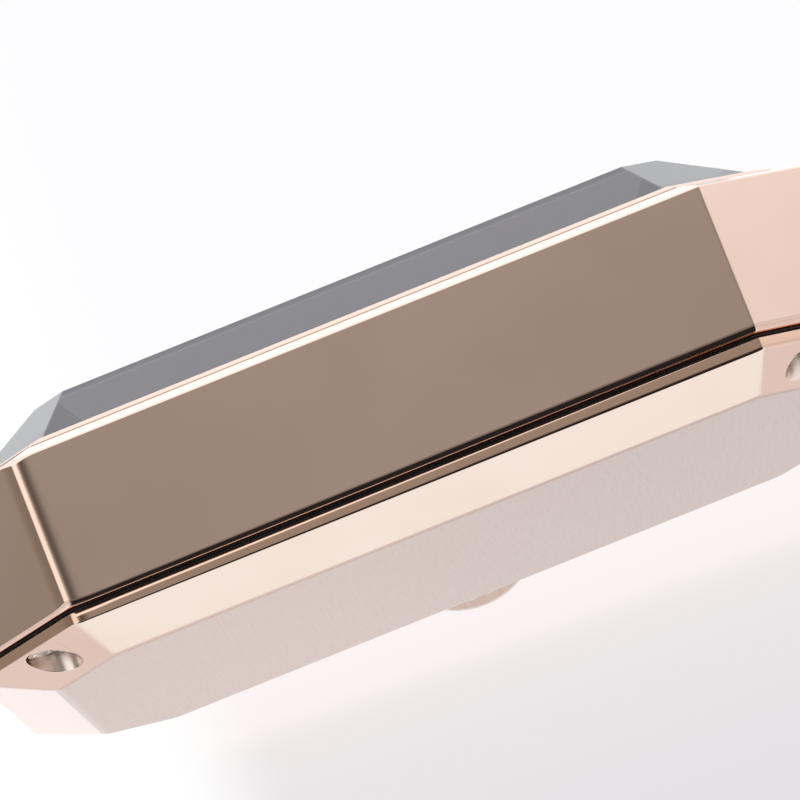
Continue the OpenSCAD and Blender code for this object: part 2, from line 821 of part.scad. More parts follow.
// Crown, turned about its axis, with flutes cut into its rim
module crown() {
    foot = 0.25;
    bevel = 0.5;
    dome = 0.35;
    flute_out = 0.08;
    flute_end = 0.54;
    color(rose_gold)
        along_x(crown_x)
            difference() {
                rotate_extrude()
                    polygon(concat(
                        [[0, 0], [crown_r - foot, 0], [crown_r, foot], [crown_r, crown_l - dome - bevel]],
                        [for (a = [15:15:90])
                            [crown_r - bevel * (1 - cos(a)), crown_l - dome - bevel * (1 - sin(a))]],
                        [[crown_r - 2 * bevel, crown_l - 0.4 * dome], [0, crown_l]]));
                for (i = [0:flutes - 1])
                    rotate([0, 0, (i + 0.5) * 360 / flutes])
                        translate([crown_r + flute_out, 0, -cut])
                            cylinder(h = crown_l - flute_end + cut, r = flute_r, $fn = 16);
                translate([0, 0, -cut])
                    cylinder(h = crown_bore_l + cut, r = tube_r + crown_wall_gap);
                translate([0, 0, crown_bore_l - cut])
                    cylinder(h = stem_grip + cut, r = stem_tip_r);
            }
}

module crown_gasket() {
    inset_x = 0.2;
    gasket_l = 0.3;
    color(black)
        along_x(crown_x + inset_x)
            rotate_extrude()
                translate([tube_r + run, 0])
                    square([crown_wall_gap - run, gasket_l]);
}

module stem() {
    grip_x = crown_x + crown_bore_l;
    square_side = 2 * (pinion_bore - run) / sqrt(2);
    color(steel)
        union() {
            along_x(stem_in_x)
                translate([-square_side / 2, -square_side / 2, 0])
                    cube([square_side, square_side, groove_x - groove_w - stem_in_x]);
            along_x(groove_x - groove_w - collar_l)
                cylinder(h = groove_w / 2 + collar_l, r = stem_r);
            along_x(groove_x - groove_w / 2)
                cylinder(h = groove_w, r = groove_r);
            along_x(groove_x + groove_w / 2)
                cylinder(h = grip_x - groove_x - groove_w / 2, r = stem_r);
            along_x(grip_x - cut)
                cylinder(h = stem_grip + cut, r = stem_tip_r);
        }
}

module setting_pinion() {
    side = 2 * pinion_bore / sqrt(2);
    color(steel)
        along_x(pinion_x)
            difference() {
                union() {
                    gear(setting_teeth, mod_setting, pinion_t);
                    cylinder(h = pinion_l, r = pinion_hub_r);
                }
                translate([-side / 2, -side / 2, -cut])
                    cube([side, side, pinion_l + 2 * cut]);
            }
}

// Lever on its stud, with a pin that stands in the groove of the stem
module setting_lever() {
    pin = [groove_x, lever_pin_y];
    arm = 0.45;
    tip = 0.25;
    pin_over = 0.15;
    color(steel)
        difference() {
            union() {
                translate([0, 0, lever_z])
                    linear_extrude(lever_t)
                        polygon([[lever_at[0] - arm, lever_at[1]], [pin[0] - tip, pin[1]],
                                 [pin[0] + tip, pin[1]], [lever_at[0] + arm, lever_at[1]]]);
                translate([lever_at[0], lever_at[1], lever_z])
                    cylinder(h = lever_t, r = lever_ring_r);
                translate([pin[0], pin[1], lever_z])
                    cylinder(h = lever_t, r = lever_eye_r);
                translate([pin[0], pin[1], lever_z])
                    cylinder(h = stem_z + pin_over - lever_z, r = lever_pin_r);
            }
            translate([lever_at[0], lever_at[1], lever_z - cut])
                cylinder(h = lever_t + 2 * cut, r = lever_stud_r + run);
        }
}

// A baton hand: a boss on its pipe and a tapered bar that points to 12 before it is turned
module hand(length, width, bore_r, turn) {
    boss_r = bore_r + 0.34;
    tail_share = 0.6;
    taper_at = 0.7;
    rotate([0, 0, -turn])
        difference() {
            union() {
                cylinder(h = hand_t, r = boss_r);
                linear_extrude(hand_t)
                    polygon([[-width / 2 * tail_share, -hand_tail], [width / 2 * tail_share, -hand_tail],
                             [width / 2, length * taper_at], [0, length],
                             [-width / 2, length * taper_at]]);
            }
            translate([0, 0, -cut])
                cylinder(h = hand_t + 2 * cut, r = bore_r);
        }
}

module minute_hand() {
    color(rose_gold)
        translate([0, 0, minute_hand_z])
            hand(minute_l, minute_w, cannon_r, show_minute * 6);
}

module hour_hand() {
    color(rose_gold)
        translate([0, 0, hour_hand_z])
            hand(hour_l, hour_w, hour_pipe_r, (show_hour + show_minute / 60) * 30);
}

// Pipe that carries the minute hand and holds the centre arbor by friction
module cannon_pinion() {
    z = plate_top + minute_lift / 2;
    cap_t = 0.2;
    color(steel)
        difference() {
            union() {
                translate([0, 0, z])
                    gear(cannon_teeth, mod_cannon, minute_t + minute_lift + 0.01);
                translate([0, 0, z])
                    cylinder(h = minute_hand_z + hand_t - z, r = cannon_r);
            }
            translate([0, 0, z - cut])
                cylinder(h = minute_hand_z - z - cap_t + cut, r = cannon_bore);
        }
}

module hour_wheel() {
    color(brass)
        difference() {
            union() {
                translate([0, 0, hour_wheel_z])
                    gear(hour_teeth, mod_hour, hour_wheel_t, hour_turn);
                translate([0, 0, hour_wheel_z])
                    cylinder(h = hour_hand_z + hand_t - hour_wheel_z, r = hour_pipe_r);
            }
            translate([0, 0, hour_wheel_z - cut])
                cylinder(h = hour_hand_z + hand_t - hour_wheel_z + 2 * cut, r = hour_pipe_bore);
        }
}

module minute_wheel() {
    color(brass)
        translate([minute_at[0], minute_at[1], 0])
            difference() {
                union() {
                    translate([0, 0, plate_top + minute_lift])
                        gear(minute_teeth, mod_cannon, minute_t, minute_turn);
                    translate([0, 0, plate_top + minute_lift + minute_t])
                        gear(minute_pinion_teeth, mod_hour, minute_pinion_h);
                }
                translate([0, 0, plate_top])
                    cylinder(h = dial_z - plate_top, r = minute_stud_r + run);
            }
}

module centre_wheel() {
    arbor_top = minute_hand_z - 0.25;
    color(brass)
        union() {
            translate([0, 0, level_d])
                gear(centre_teeth, mod_centre, wheel_t);
            translate([0, 0, train_z + arbor_end])
                cylinder(h = arbor_top - train_z - arbor_end, r = cannon_bore - run);
            translate([0, 0, bridge_z + pivot_end])
                cylinder(h = bridge_t, r = pivot_r);
        }
}

// Wheel and pinion on one arbor
module wheel_set(at, teeth, m, z, p_teeth, p_m, p_z, p_turn) {
    translate([at[0], at[1], 0]) {
        translate([0, 0, z])
            gear(teeth, m, wheel_t);
        translate([0, 0, p_z])
            gear(p_teeth, p_m, wheel_t + pinion_more, p_turn);
        arbor(arbor_end);
    }
}

module third_wheel() {
    color(brass)
        wheel_set(third_at, third_teeth, mod_third, level_b,
                  third_pinion_teeth, mod_centre, level_d - pinion_more / 2, third_pinion_turn);
}

module fourth_wheel() {
    color(brass)
        wheel_set(fourth_at, fourth_teeth, mod_fourth, level_c,
                  fourth_pinion_teeth, mod_third, level_b - pinion_more / 2, fourth_pinion_turn);
}

module fifth_wheel() {
    color(brass)
        wheel_set(fifth_at, fifth_teeth, mod_fifth, level_a,
                  fifth_pinion_teeth, mod_fourth, level_c - pinion_more / 2, fifth_pinion_turn);
}

module rotor() {
    color(steel)
        translate([rotor_at[0], rotor_at[1], 0]) {
            translate([0, 0, level_a - 0.03])
                gear(rotor_teeth, mod_fifth, wheel_t + 0.06, rotor_turn);
            translate([0, 0, stator_z - arbor_end])
                cylinder(h = stator_t - arbor_end, r = magnet_r);
            arbor(0.02);
        }
}

case_middle();
bezel();
crystal();
crystal_gasket();
caseback();
caseback_gasket();
caseback_screws();
crown_tube();
strap_lug_12();
strap_lug_6();
dial();
hour_markers();
dial_washer();
movement_holder();
main_plate();
train_bridge();
bridge_screws();
circuit_board();
circuit_chip();
quartz_can();
coil_core();
motor_coil();
stator();
battery();
battery_clamp();
battery_insulator();
crown();
crown_gasket();
stem();
setting_pinion();
setting_lever();
minute_hand();
cannon_pinion();
hour_hand();
hour_wheel();
minute_wheel();
centre_wheel();
third_wheel();
fourth_wheel();
fifth_wheel();
rotor();
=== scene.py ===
# Octagonal case watch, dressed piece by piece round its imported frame.
# Sizes are in millimetres, and are turned into metres once, as the meshes are made.
# +Z runs from the case back to the crystal, +Y to 12 o'clock and +X to the crown.
import math
from contextlib import contextmanager

import bmesh
import bpy
import numpy as np
from mathutils import Matrix, Vector


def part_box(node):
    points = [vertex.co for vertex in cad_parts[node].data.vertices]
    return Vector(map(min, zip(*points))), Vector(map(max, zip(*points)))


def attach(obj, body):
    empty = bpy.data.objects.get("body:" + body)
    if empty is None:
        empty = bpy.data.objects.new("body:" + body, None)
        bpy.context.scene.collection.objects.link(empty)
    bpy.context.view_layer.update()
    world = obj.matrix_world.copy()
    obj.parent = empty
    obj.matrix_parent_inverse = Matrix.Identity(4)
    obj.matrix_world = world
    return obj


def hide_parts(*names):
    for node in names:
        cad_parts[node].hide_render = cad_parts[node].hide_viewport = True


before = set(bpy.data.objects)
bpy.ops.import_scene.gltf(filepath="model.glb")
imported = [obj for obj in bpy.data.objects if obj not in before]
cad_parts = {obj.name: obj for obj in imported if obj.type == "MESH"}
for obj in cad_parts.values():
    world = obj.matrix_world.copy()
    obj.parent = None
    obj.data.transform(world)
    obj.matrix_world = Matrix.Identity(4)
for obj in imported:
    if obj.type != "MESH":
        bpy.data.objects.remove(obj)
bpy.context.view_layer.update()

# View and studio. The camera looks along +X, a little upwards, at the long side at 9 o'clock,
# through a long lens. White paper stands all round the watch under a pale ceiling, with a warm
# dim side behind the camera, a dark table under that, and a window between 9 and 12.
MM = 0.001
scene = bpy.context.scene
yaw, pitch, roll = (math.radians(a) for a in (1.273, 9.364, -21.653))
aim = np.array([-10.3, 0, 4])
distance = 227.62
slide_right, slide_up = -0.682, 0.688
ahead = np.array([math.cos(pitch) * math.cos(yaw), math.cos(pitch) * math.sin(yaw), math.sin(pitch)])
level_right = np.array([math.sin(yaw), -math.cos(yaw), 0])
level_up = np.cross(level_right, ahead)
right = math.cos(roll) * level_right + math.sin(roll) * level_up
up = -math.sin(roll) * level_right + math.cos(roll) * level_up
stand = aim - ahead * distance - right * slide_right - up * slide_up


def linked(name, data):
    """A new object in the scene."""
    made = bpy.data.objects.new(name, data)
    scene.collection.objects.link(made)
    return made


camera = linked("camera", bpy.data.cameras.new("camera"))
scene.camera = camera
camera_rows = np.array([right, up, -ahead, stand * MM]).T.tolist()
camera.matrix_world = Matrix([*camera_rows, [0, 0, 0, 1]])
camera.data.lens = 390.6
camera.data.clip_start = 0.01
camera.data.clip_end = 10
scene.view_settings.view_transform = "Standard"


def put(tree, kind, inputs=None, **settings):
    """Adds a node with its settings, and sets or links its inputs by name or number."""
    made = tree.nodes.new(kind)
    for key, value in settings.items():
        setattr(made, key, value)
    for key, value in (inputs or {}).items():
        if isinstance(value, bpy.types.NodeSocket):
            tree.links.new(value, made.inputs[key])
        else:
            made.inputs[key].default_value = value
    return made


def out(tree, kind, inputs=None, **settings):
    """The first output of a new node."""
    return put(tree, kind, inputs, **settings).outputs[0]


def calc(tree, operation, *values):
    """A Math node's result."""
    return out(tree, "ShaderNodeMath", dict(enumerate(values)), operation=operation)


def times(tree, a, b):
    """One value times another."""
    return calc(tree, "MULTIPLY", a, b)


def scaled(tree, value, factor, base):
    """A value times a factor, on top of a base."""
    return calc(tree, "MULTIPLY_ADD", value, factor, base)


def dot(tree, a, b):
    """How far two directions agree."""
    return put(tree, "ShaderNodeVectorMath", {0: a, 1: b}, operation="DOT_PRODUCT").outputs["Value"]


def grade(tree, value, low, high, low_out=0.0, high_out=1.0):
    """A value that runs smoothly from one level to another."""
    inputs = {0: value, 1: low, 2: high, 3: low_out, 4: high_out}
    return out(tree, "ShaderNodeMapRange", inputs, interpolation_type="SMOOTHSTEP")


def tint(tree, share, first, second, blend_type="MIX"):
    """One colour that gives way to another."""
    inputs = {0: share, 6: first, 7: second}
    return put(tree, "ShaderNodeMix", inputs, data_type="RGBA", blend_type=blend_type).outputs[2]


def ramp(tree, value, stops):
    """A colour ramp over stops of a position and a colour."""
    made = put(tree, "ShaderNodeValToRGB", {0: value})
    made.color_ramp.interpolation = "EASE"
    points = made.color_ramp.elements
    while len(points) < len(stops):
        points.new(0.5)
    for point, (position, colour) in zip(points, stops):
        point.position = position
        point.color = (*colour, 1)
    return made.outputs[0]


world = bpy.data.worlds.new("studio")
scene.world = world
world.use_nodes = True
sky = world.node_tree
sky.nodes.clear()
toward = put(sky, "ShaderNodeTexCoord").outputs["Generated"]
toward_x, toward_y, toward_z = put(sky, "ShaderNodeSeparateXYZ", {0: toward}).outputs
bearing = calc(sky, "ARCTAN2", toward_y, times(sky, toward_x, -1.0))
white, grey, window = (1.0, 1.0, 1.0), (0.72, 0.72, 0.73), (1.15, 1.12, 1.05)
horizon = ramp(sky, scaled(sky, bearing, 1 / math.tau, 0.5), [
    (0.5 + from_nine / 360, light) for from_nine, light in (
        (-180, white), (-169, white), (-160, grey), (-152, grey),
        (-128, (0.97, 0.96, 0.96)), (-84, (0.96, 0.92, 0.91)), (-38, (0.90, 0.87, 0.86)),
        (-20, (0.33, 0.30, 0.28)), (-5, (0.345, 0.325, 0.30)), (1, (0.392, 0.365, 0.338)),
        (6, (0.35, 0.33, 0.305)), (15, (0.13, 0.115, 0.10)), (26, (0.60, 0.57, 0.52)),
        (36, window), (62, window),
        (74, (0.24, 0.21, 0.185)), (88, (0.25, 0.225, 0.19)), (106, (0.36, 0.33, 0.30)),
        (150, grey), (160, grey), (169, white), (180, white))])
low_share = grade(sky, toward_x, 0.1, 0.6, 0.72, 1.12)
horizon_share = grade(sky, toward_z, 0.0, 0.34, low_share, 1.28)
horizon_light = tint(sky, 1.0, horizon, out(sky, "ShaderNodeCombineColor", {
    i: horizon_share for i in range(3)}), "MULTIPLY")
below = ramp(sky, times(sky, toward_z, -1.0), [
    (0.0, (1.02, 1.00, 1.00)), (0.045, (1.0, 0.98, 0.98)), (0.08, (0.74, 0.73, 0.74)),
    (0.095, (0.74, 0.73, 0.74)), (0.125, (1.02, 1.00, 0.99)),
    (0.17, (0.75, 0.68, 0.65)),
    (0.586, (0.84, 0.78, 0.765)), (0.76, (1.02, 1.10, 1.12))])
table_side = times(sky, grade(sky, toward_x, -0.10, 0.10, 1.0, 0.0), grade(
    sky, calc(sky, "ABSOLUTE", toward_y), 0.35, 0.65, 1.0, 0.0))
table = tint(sky, grade(sky, toward_z, -0.42, -0.16), (0.022, 0.019, 0.018, 1), (0.22, 0.20, 0.185, 1))
below_light = tint(sky, table_side, below, table)
low_light = tint(sky, grade(sky, toward_z, -0.07, -0.01), below_light, horizon_light)
cool_share = times(sky, grade(sky, toward_x, 0.25, 0.60), grade(sky, toward_z, 0.40, 0.60))
ceiling = tint(sky, cool_share, (1.18, 1.21, 1.20, 1), (1.09, 1.07, 1.15, 1))
room = tint(sky, grade(sky, toward_z, 0.34, 0.45), low_light, ceiling)
# The backdrop seen straight on is painted: painted shade that greys it away across the picture, and a
# pinkish painted glow next to the watch.
tilt_x, tilt_y = 0.345, 0.939
fall, along = (dot(sky, toward, tuple(way))
               for way in (tilt_x * right - tilt_y * up, tilt_y * right + tilt_x * up))
shade = ramp(sky, times(sky, fall, 16.0), [
    (0.0, (0.985, 0.98, 1.0)), (0.34, (1.0, 0.93, 0.92)), (0.46, (0.97, 0.89, 0.88)),
    (0.54, (0.85, 0.80, 0.81)), (0.66, (0.82, 0.79, 0.80)), (0.9, (0.79, 0.75, 0.785))])
paper = tint(sky, grade(sky, along, -0.040, -0.0265), (1.0, 1.0, 1.0, 1), shade)
sight = put(sky, "ShaderNodeLightPath").outputs
clear = calc(sky, "MAXIMUM", sight["Is Glossy Ray"], sight["Is Transmission Ray"])
seen = tint(sky, sight["Is Camera Ray"], tint(sky, clear, (0.80, 0.80, 0.80, 1), room), paper)
shine = out(sky, "ShaderNodeBackground", {0: seen, 1: 1.0})
put(sky, "ShaderNodeOutputWorld", {0: shine})

for name, place, size, power in (("key_lamp", (-0.30, 0.22, 0.42), 0.35, 1.1),
                                 ("fill_lamp", (0.30, -0.30, 0.30), 0.45, 0.7)):
    lamp = linked(name, bpy.data.lights.new(name, "AREA"))
    lamp.data.size = size
    lamp.data.energy = power
    lamp.location = place
    lamp.rotation_euler = Vector(place).to_track_quat("Z", "Y").to_euler()
    lamp.visible_glossy = False

# Pale floor just under the case back. It shows only from above, because the photograph
# looks at the case back from below.
floor_drop = 0.02
floor_half = 1200
floor_mesh = bpy.data.meshes.new("floor")
floor_mesh.from_pydata([(x * floor_half * MM, y * floor_half * MM, -floor_drop * MM)
                        for x, y in ((-1, -1), (1, -1), (1, 1), (-1, 1))], [], [(0, 1, 2, 3)])
floor = linked("floor", floor_mesh)
floor.visible_glossy = floor.visible_diffuse = False
floor.visible_transmission = floor.visible_shadow = False


def new_material(name, colour, alpha=1):
    """A material with a plain colour and an empty tree."""
    made = bpy.data.materials.new(name)
    made.use_nodes = True
    made.diffuse_color = (*colour, alpha)
    made.node_tree.nodes.clear()
    return made, made.node_tree


paper_card, card = new_material("paper", (0.92, 0.92, 0.92))
card_grain = out(card, "ShaderNodeTexNoise", {
    "Vector": put(card, "ShaderNodeTexCoord").outputs["Object"], "Scale": 3.0})
card_face = out(card, "ShaderNodeBsdfPrincipled", {
    "Base Color": ramp(card, card_grain, [(0.3, (0.90, 0.90, 0.905)), (0.7, (0.92, 0.92, 0.92))]),
    "Roughness": 0.9})
card_back = out(card, "ShaderNodeBsdfTransparent")
card_side = put(card, "ShaderNodeNewGeometry").outputs["Backfacing"]
put(card, "ShaderNodeOutputMaterial",
    {0: out(card, "ShaderNodeMixShader", {0: card_side, 1: card_face, 2: card_back})})
floor_mesh.materials.append(paper_card)

# Case middle. A block of steel, milled to an octagonal band with a sloping shoulder and plated
# rose gold. It is polished by hand, so its edges are slightly round, most of all below at 6.
case_low, case_high = (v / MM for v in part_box("case_middle"))
half_w, half_l = case_high.x, case_high.y
cut_x, cut_y = 3.64, 3.25
seam_drop, top_drop = 0.10, 0.02
band_bottom, band_top, case_top = case_low.z - seam_drop, 5.49, case_high.z - top_drop
shoulder_w, wall_t, ledge_w = 1.15, 1.9, 1.0
ledge_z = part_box("crystal")[0].z / MM
dial_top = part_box("dial")[1].z / MM
upright_round = np.array([0.08, 0.42, 0.28, 0.28, 0.42, 0.08, 0.08, 0.08])
shoulder_round, lower_round_12, lower_round_6 = 0.06, 0.15, 0.28
soft_more, soft_reach, soft_below = 0.12, 0.35, 0.6
slow_share, slow_turn = 0.9, math.radians(7)
edge_round = 0.02
across_facet = np.array([cut_y, cut_x]) / math.hypot(cut_x, cut_y)
facet_out = across_facet @ [half_w, half_l - cut_y]
edge_leads = np.array([0.6, 0.25, 0.08])
arc_steps = 6
tight_round, tight_steps, wide_steps = 0.04, 2, 8
side_share = 0.45


def octagon(side, end, facet):
    """Corners of the case's octagon, drawn in from each kind of side."""
    w, l, d = half_w - side, half_l - end, facet_out - facet
    y = (d - across_facet[0] * w) / across_facet[1]
    x = (d - across_facet[1] * l) / across_facet[0]
    return np.array([(w, -y), (w, y), (x, l), (-x, l), (-w, y), (-w, -y), (-x, -l), (x, -l)])


def corner_run(bend, round_by):
    """Stops along a corner and how far the line has turned at each. A tight arc lies between
    two slow ones, as polishing by hand leaves it."""
    slow = slow_share * round_by
    ends = np.cumsum([0, slow, round_by * (bend - 2 * slow_turn), slow])
    arcs = [np.linspace(a, b, arc_steps + 1) for a, b in zip(ends, ends[1:])]
    stops = np.unique(np.concatenate(arcs).round(9))
    return stops, np.interp(stops, ends, [0, slow_turn, bend - slow_turn, bend])


def outline(side, end, facet, z, round_by):
    """The octagon at a height, with its corners rounded and with points close beside them."""
    corners = octagon(side, end, facet)
    rounds = np.broadcast_to(round_by, 8)
    points = []
    for k, corner in enumerate(corners):
        back, on = (corners[j] - corner for j in (k - 1, (k + 1) % 8))
        sides = [np.linalg.norm(way) for way in (back, on)]
        back, on = back / sides[0], on / sides[1]
        bend = math.acos(-back @ on)
        stops, turned_by = corner_run(bend, rounds[k])
        middles = (turned_by[1:] + turned_by[:-1]) / 2
        steps = np.diff(stops)[:, None] * np.column_stack([np.cos(middles), np.sin(middles)])
        run = np.vstack([[0, 0], np.cumsum(steps, axis=0)])
        reach = run[-1, 1] / math.sin(bend)
        aside = (on + back * math.cos(bend)) / math.sin(bend)
        before, after = (edge_leads * min(1, (side_share * side - reach) / edge_leads[0])
                         for side in sides)
        points += [corner + back * (reach + d) for d in before]
        points += list(corner + back * reach + run @ [-back, aside])
        points += [corner + on * (reach + d) for d in after[::-1]]
    return np.column_stack([points, np.broadcast_to(z, len(points))])


def fillet(before, corner, after, round_by, steps):
    """Rows of points that round the corner of a path from one outline to the next."""
    back, on = before - corner, after - corner
    back_l, on_l = (np.linalg.norm(v, axis=1, keepdims=True) for v in (back, on))
    back, on = back / back_l, on / on_l
    half_turn = np.arccos(np.clip((back * on).sum(1, keepdims=True), -1, 1)) / 2
    reach = np.broadcast_to(round_by, len(corner))[:, None] / np.tan(half_turn)
    reach = np.minimum(reach, side_share * np.minimum(back_l, on_l))
    rows = []
    for t in np.linspace(0, 1, steps + 1):
        a, b, c = (1 - t) ** 2, 2 * t * (1 - t) * np.sin(half_turn), t * t
        rows.append((a * (corner + back * reach) + b * corner + c * (corner + on * reach)) / (a + b + c))
    return rows


@contextmanager
def edited(piece):
    """A piece's mesh, open for editing."""
    work = bmesh.new()
    work.from_mesh(piece.data)
    yield work
    work.to_mesh(piece.data)
    work.free()


def settle(piece):
    """Closes a mesh, turns its faces out and shades it by area, so that flats stay flat."""
    with edited(piece) as work:
        bmesh.ops.remove_doubles(work, verts=work.verts, dist=1e-7)
        bmesh.ops.dissolve_degenerate(work, edges=work.edges, dist=1e-8)
        bmesh.ops.recalc_face_normals(work, faces=work.faces)
    lean = np.zeros((len(piece.data.vertices), 3))
    for face in piece.data.polygons:
        lean[list(face.vertices)] += np.array(face.normal) * face.area
        face.use_smooth = True
    lean /= np.maximum(np.linalg.norm(lean, axis=1, keepdims=True), 1e-20)
    piece.data.normals_split_custom_set_from_vertices([tuple(n) for n in lean])
    return piece


def add_piece(name, points, faces):
    """A piece from points in millimetres."""
    mesh = bpy.data.meshes.new(name)
    mesh.from_pydata([tuple(p) for p in np.asarray(points) * MM], [], faces)
    return settle(linked(name, mesh))


def skin(name, path, closed=False, around=True):
    """A piece over a path of outlines, each given with the radius that rounds it there.
    An open path ends in flat faces, and an outline that isn't drawn all round stays open."""
    lines = [line for line, _ in path]
    rows = []
    for i, (line, round_by) in enumerate(path):
        if closed or 0 < i < len(path) - 1:
            steps = wide_steps if np.max(round_by) > tight_round else tight_steps
            rows += fillet(lines[i - 1], line, lines[(i + 1) % len(lines)], round_by, steps)
        else:
            rows.append(line)
    count, wide = len(rows), len(lines[0])
    faces = []
    for i in range(count if closed else count - 1):
        for j in range(wide if around else wide - 1):
            a, b, k = i * wide, (i + 1) % count * wide, (j + 1) % wide
            faces.append((a + j, a + k, b + k, b + j))
    if around and not closed:
        faces += [tuple(range(wide)), tuple(range((count - 1) * wide, count * wide))]
    return add_piece(name, np.vstack(rows), faces)


def applied(piece):
    """Keeps what a piece's modifiers make as its own mesh."""
    done = bpy.data.meshes.new_from_object(piece.evaluated_get(bpy.context.evaluated_depsgraph_get()))
    piece.modifiers.clear()
    piece.data = done
    return piece


def combined(piece, other, operation):
    """Cuts another shape out of a piece or joins it on, and takes that shape away."""
    step = piece.modifiers.new("combine", "BOOLEAN")
    step.object = other
    step.operation = operation
    step.solver = "EXACT"
    applied(piece)
    bpy.data.objects.remove(other)


lip_turn, lip_near = 0.5, 0.01


def off_wall(point, start, end, radius):
    """How far a point lies from the wall of a hole."""
    axis = (Vector(end) - Vector(start)).normalized()
    return abs((point - Vector(start)).cross(axis).length - radius)


def bore(piece, holes, lip=0.0):
    """Cuts round holes, each a start, an end and a radius, and softens their lips."""
    work = bmesh.new()
    for start, end, radius in holes:
        start, end = Vector(start), Vector(end)
        turn = (end - start).to_track_quat("Z", "Y").to_matrix().to_4x4()
        bmesh.ops.create_cone(work, cap_ends=True, segments=64, radius1=radius * MM, radius2=radius * MM,
                              depth=(end - start).length * MM,
                              matrix=Matrix.Translation((start + end) / 2 * MM) @ turn)
    mesh = bpy.data.meshes.new("drill")
    work.to_mesh(mesh)
    work.free()
    combined(piece, linked("drill", mesh), "DIFFERENCE")
    if lip:
        with edited(piece) as work:
            sharp = [e for e in work.edges if len(e.link_faces) == 2 and e.calc_face_angle() > lip_turn]
            lips = [e for e in sharp if any(
                all(off_wall(v.co / MM, *hole) < lip_near for v in e.verts) for hole in holes)]
            bmesh.ops.bevel(work, geom=lips, offset=lip * MM, segments=3, profile=0.5, affect="EDGES")
    settle(piece)


def inset(distance, z, round_by=0.1):
    """The case's outline drawn in by one distance."""
    return outline(distance, distance, distance, z, round_by)


def insets(round_by, *places):
    """Stops on a path of outlines, each drawn in by one distance at a height."""
    return [(inset(distance, z), round_by) for distance, z in places]


band_line = inset(0, band_bottom, upright_round)
from_soft = np.hypot(band_line[:, 0] + half_w, band_line[:, 1] - half_l + cut_y)
softer = soft_more * np.exp(-(from_soft / soft_reach) ** 2)
lower_round = np.interp(band_line[:, 1], [-half_l, half_l], [lower_round_6, lower_round_12])
case_middle = skin("case_middle_shell", [
    (band_line, lower_round + soft_below * softer),
    (inset(0, band_top, upright_round), shoulder_round + softer),
    *insets(edge_round, (shoulder_w, case_top), (shoulder_w, ledge_z), (wall_t + ledge_w, ledge_z),
            (wall_t + ledge_w, dial_top), (wall_t, dial_top), (wall_t, band_bottom))], closed=True)
screw_in, shank_hole_r, shank_hole_top = 0.86, 0.36, 3.37
screw_x = half_w - cut_x / 2 - across_facet[0] * screw_in
screw_y = half_l - cut_y / 2 - across_facet[1] * screw_in
screw_places = [(x * screw_x, y * screw_y) for x in (-1, 1) for y in (-1, 1)]
stem_z, tube_r = 2.8, 1.0
bore(case_middle,
     [((x, y, 0), (x, y, shank_hole_top), shank_hole_r) for x, y in screw_places]
     + [((half_w - wall_t - 1, 0, stem_z), (half_w + 1, 0, stem_z), tube_r)], lip=0.03)


def new_group(name, inputs, outputs):
    """A shader node group with named values in and out, and what its inputs give."""
    group = bpy.data.node_groups.new(name, "ShaderNodeTree")
    for label, value in inputs:
        socket = group.interface.new_socket(label, in_out="INPUT", socket_type="NodeSocketFloat")
        socket.default_value = value
    for label in outputs:
        group.interface.new_socket(label, in_out="OUTPUT", socket_type="NodeSocketFloat")
    return group, put(group, "NodeGroupInput").outputs


def in_millimetres(tree):
    """The piece's own coordinates, in millimetres."""
    place = put(tree, "ShaderNodeTexCoord").outputs["Object"]
    return out(tree, "ShaderNodeVectorMath", {0: place, "Scale": 1 / MM}, operation="SCALE")


def noise(tree, place, scale, detail=2.0):
    """Noise at a place, scaled per millimetre."""
    return out(tree, "ShaderNodeTexNoise", {"Vector": place, "Scale": scale, "Detail": detail})


def stretched(tree, place, turn, scale):
    """Coordinates that are turned and stretched, for marks that run one way."""
    return out(tree, "ShaderNodeMapping", {"Vector": place, "Rotation": turn, "Scale": scale})


# Polishing leaves a faint haze and hairlines that cross at shallow angles
polish, given = new_group(
    "hand_polish", [("Roughness", 0.05), ("Hairlines", 0.02), ("Haze", 0.02)], ["Roughness", "Height"])
spot = in_millimetres(polish)
hairs = [out(polish, "ShaderNodeMapRange", {
    0: noise(polish, stretched(polish, spot, turn, (0.35, 22, 9)), 1.0), 1: 0.66, 2: 0.78})
    for turn in ((0.2, 0.5, 0.3), (1.1, -0.4, 1.5), (-0.7, 0.9, -0.6))]
hair_mark = calc(polish, "MAXIMUM", calc(polish, "MAXIMUM", hairs[0], hairs[1]), hairs[2])
haze_mark = noise(polish, spot, 0.5, 3.0)
marks = calc(polish, "ADD", times(polish, hair_mark, given["Hairlines"]),
             times(polish, haze_mark, given["Haze"]))
put(polish, "NodeGroupOutput", {
    "Roughness": calc(polish, "ADD", given["Roughness"], marks),
    "Height": calc(polish, "ADD", times(polish, noise(polish, spot, 1.3), 0.3),
                   times(polish, hair_mark, -0.1))})

# Plating rubs paler on edges that stand proud
wear, given = new_group("edge_wear", [("Width", 0.08), ("Spread", 0.5)], ["Mask"])
round_normal = out(wear, "ShaderNodeBevel", {0: times(wear, given["Width"], MM)}, samples=3)
true_normal = put(wear, "ShaderNodeNewGeometry").outputs["True Normal"]
facing = dot(wear, round_normal, true_normal)
patchy = grade(wear, noise(wear, in_millimetres(wear), 1.8, 3.0), 0.3, 0.65, 0.25, 1.0)
put(wear, "NodeGroupOutput", {"Mask": times(
    wear, grade(wear, facing, 0.985, 0.86), times(wear, patchy, given["Spread"]))})


def use(tree, group, **inputs):
    """Places a shader node group with its values."""
    made = put(tree, "ShaderNodeGroup", node_tree=group)
    for label, value in inputs.items():
        made.inputs[label].default_value = value
    return made.outputs


def finished(made, height, depth, inputs):
    """Gives a material its surface, with relief of a depth in millimetres."""
    tree = made.node_tree
    relief = out(tree, "ShaderNodeBump", {"Height": height, "Distance": depth * MM})
    face = out(tree, "ShaderNodeBsdfPrincipled", {"Normal": relief, **inputs})
    put(tree, "ShaderNodeOutputMaterial", {0: face})
    return made


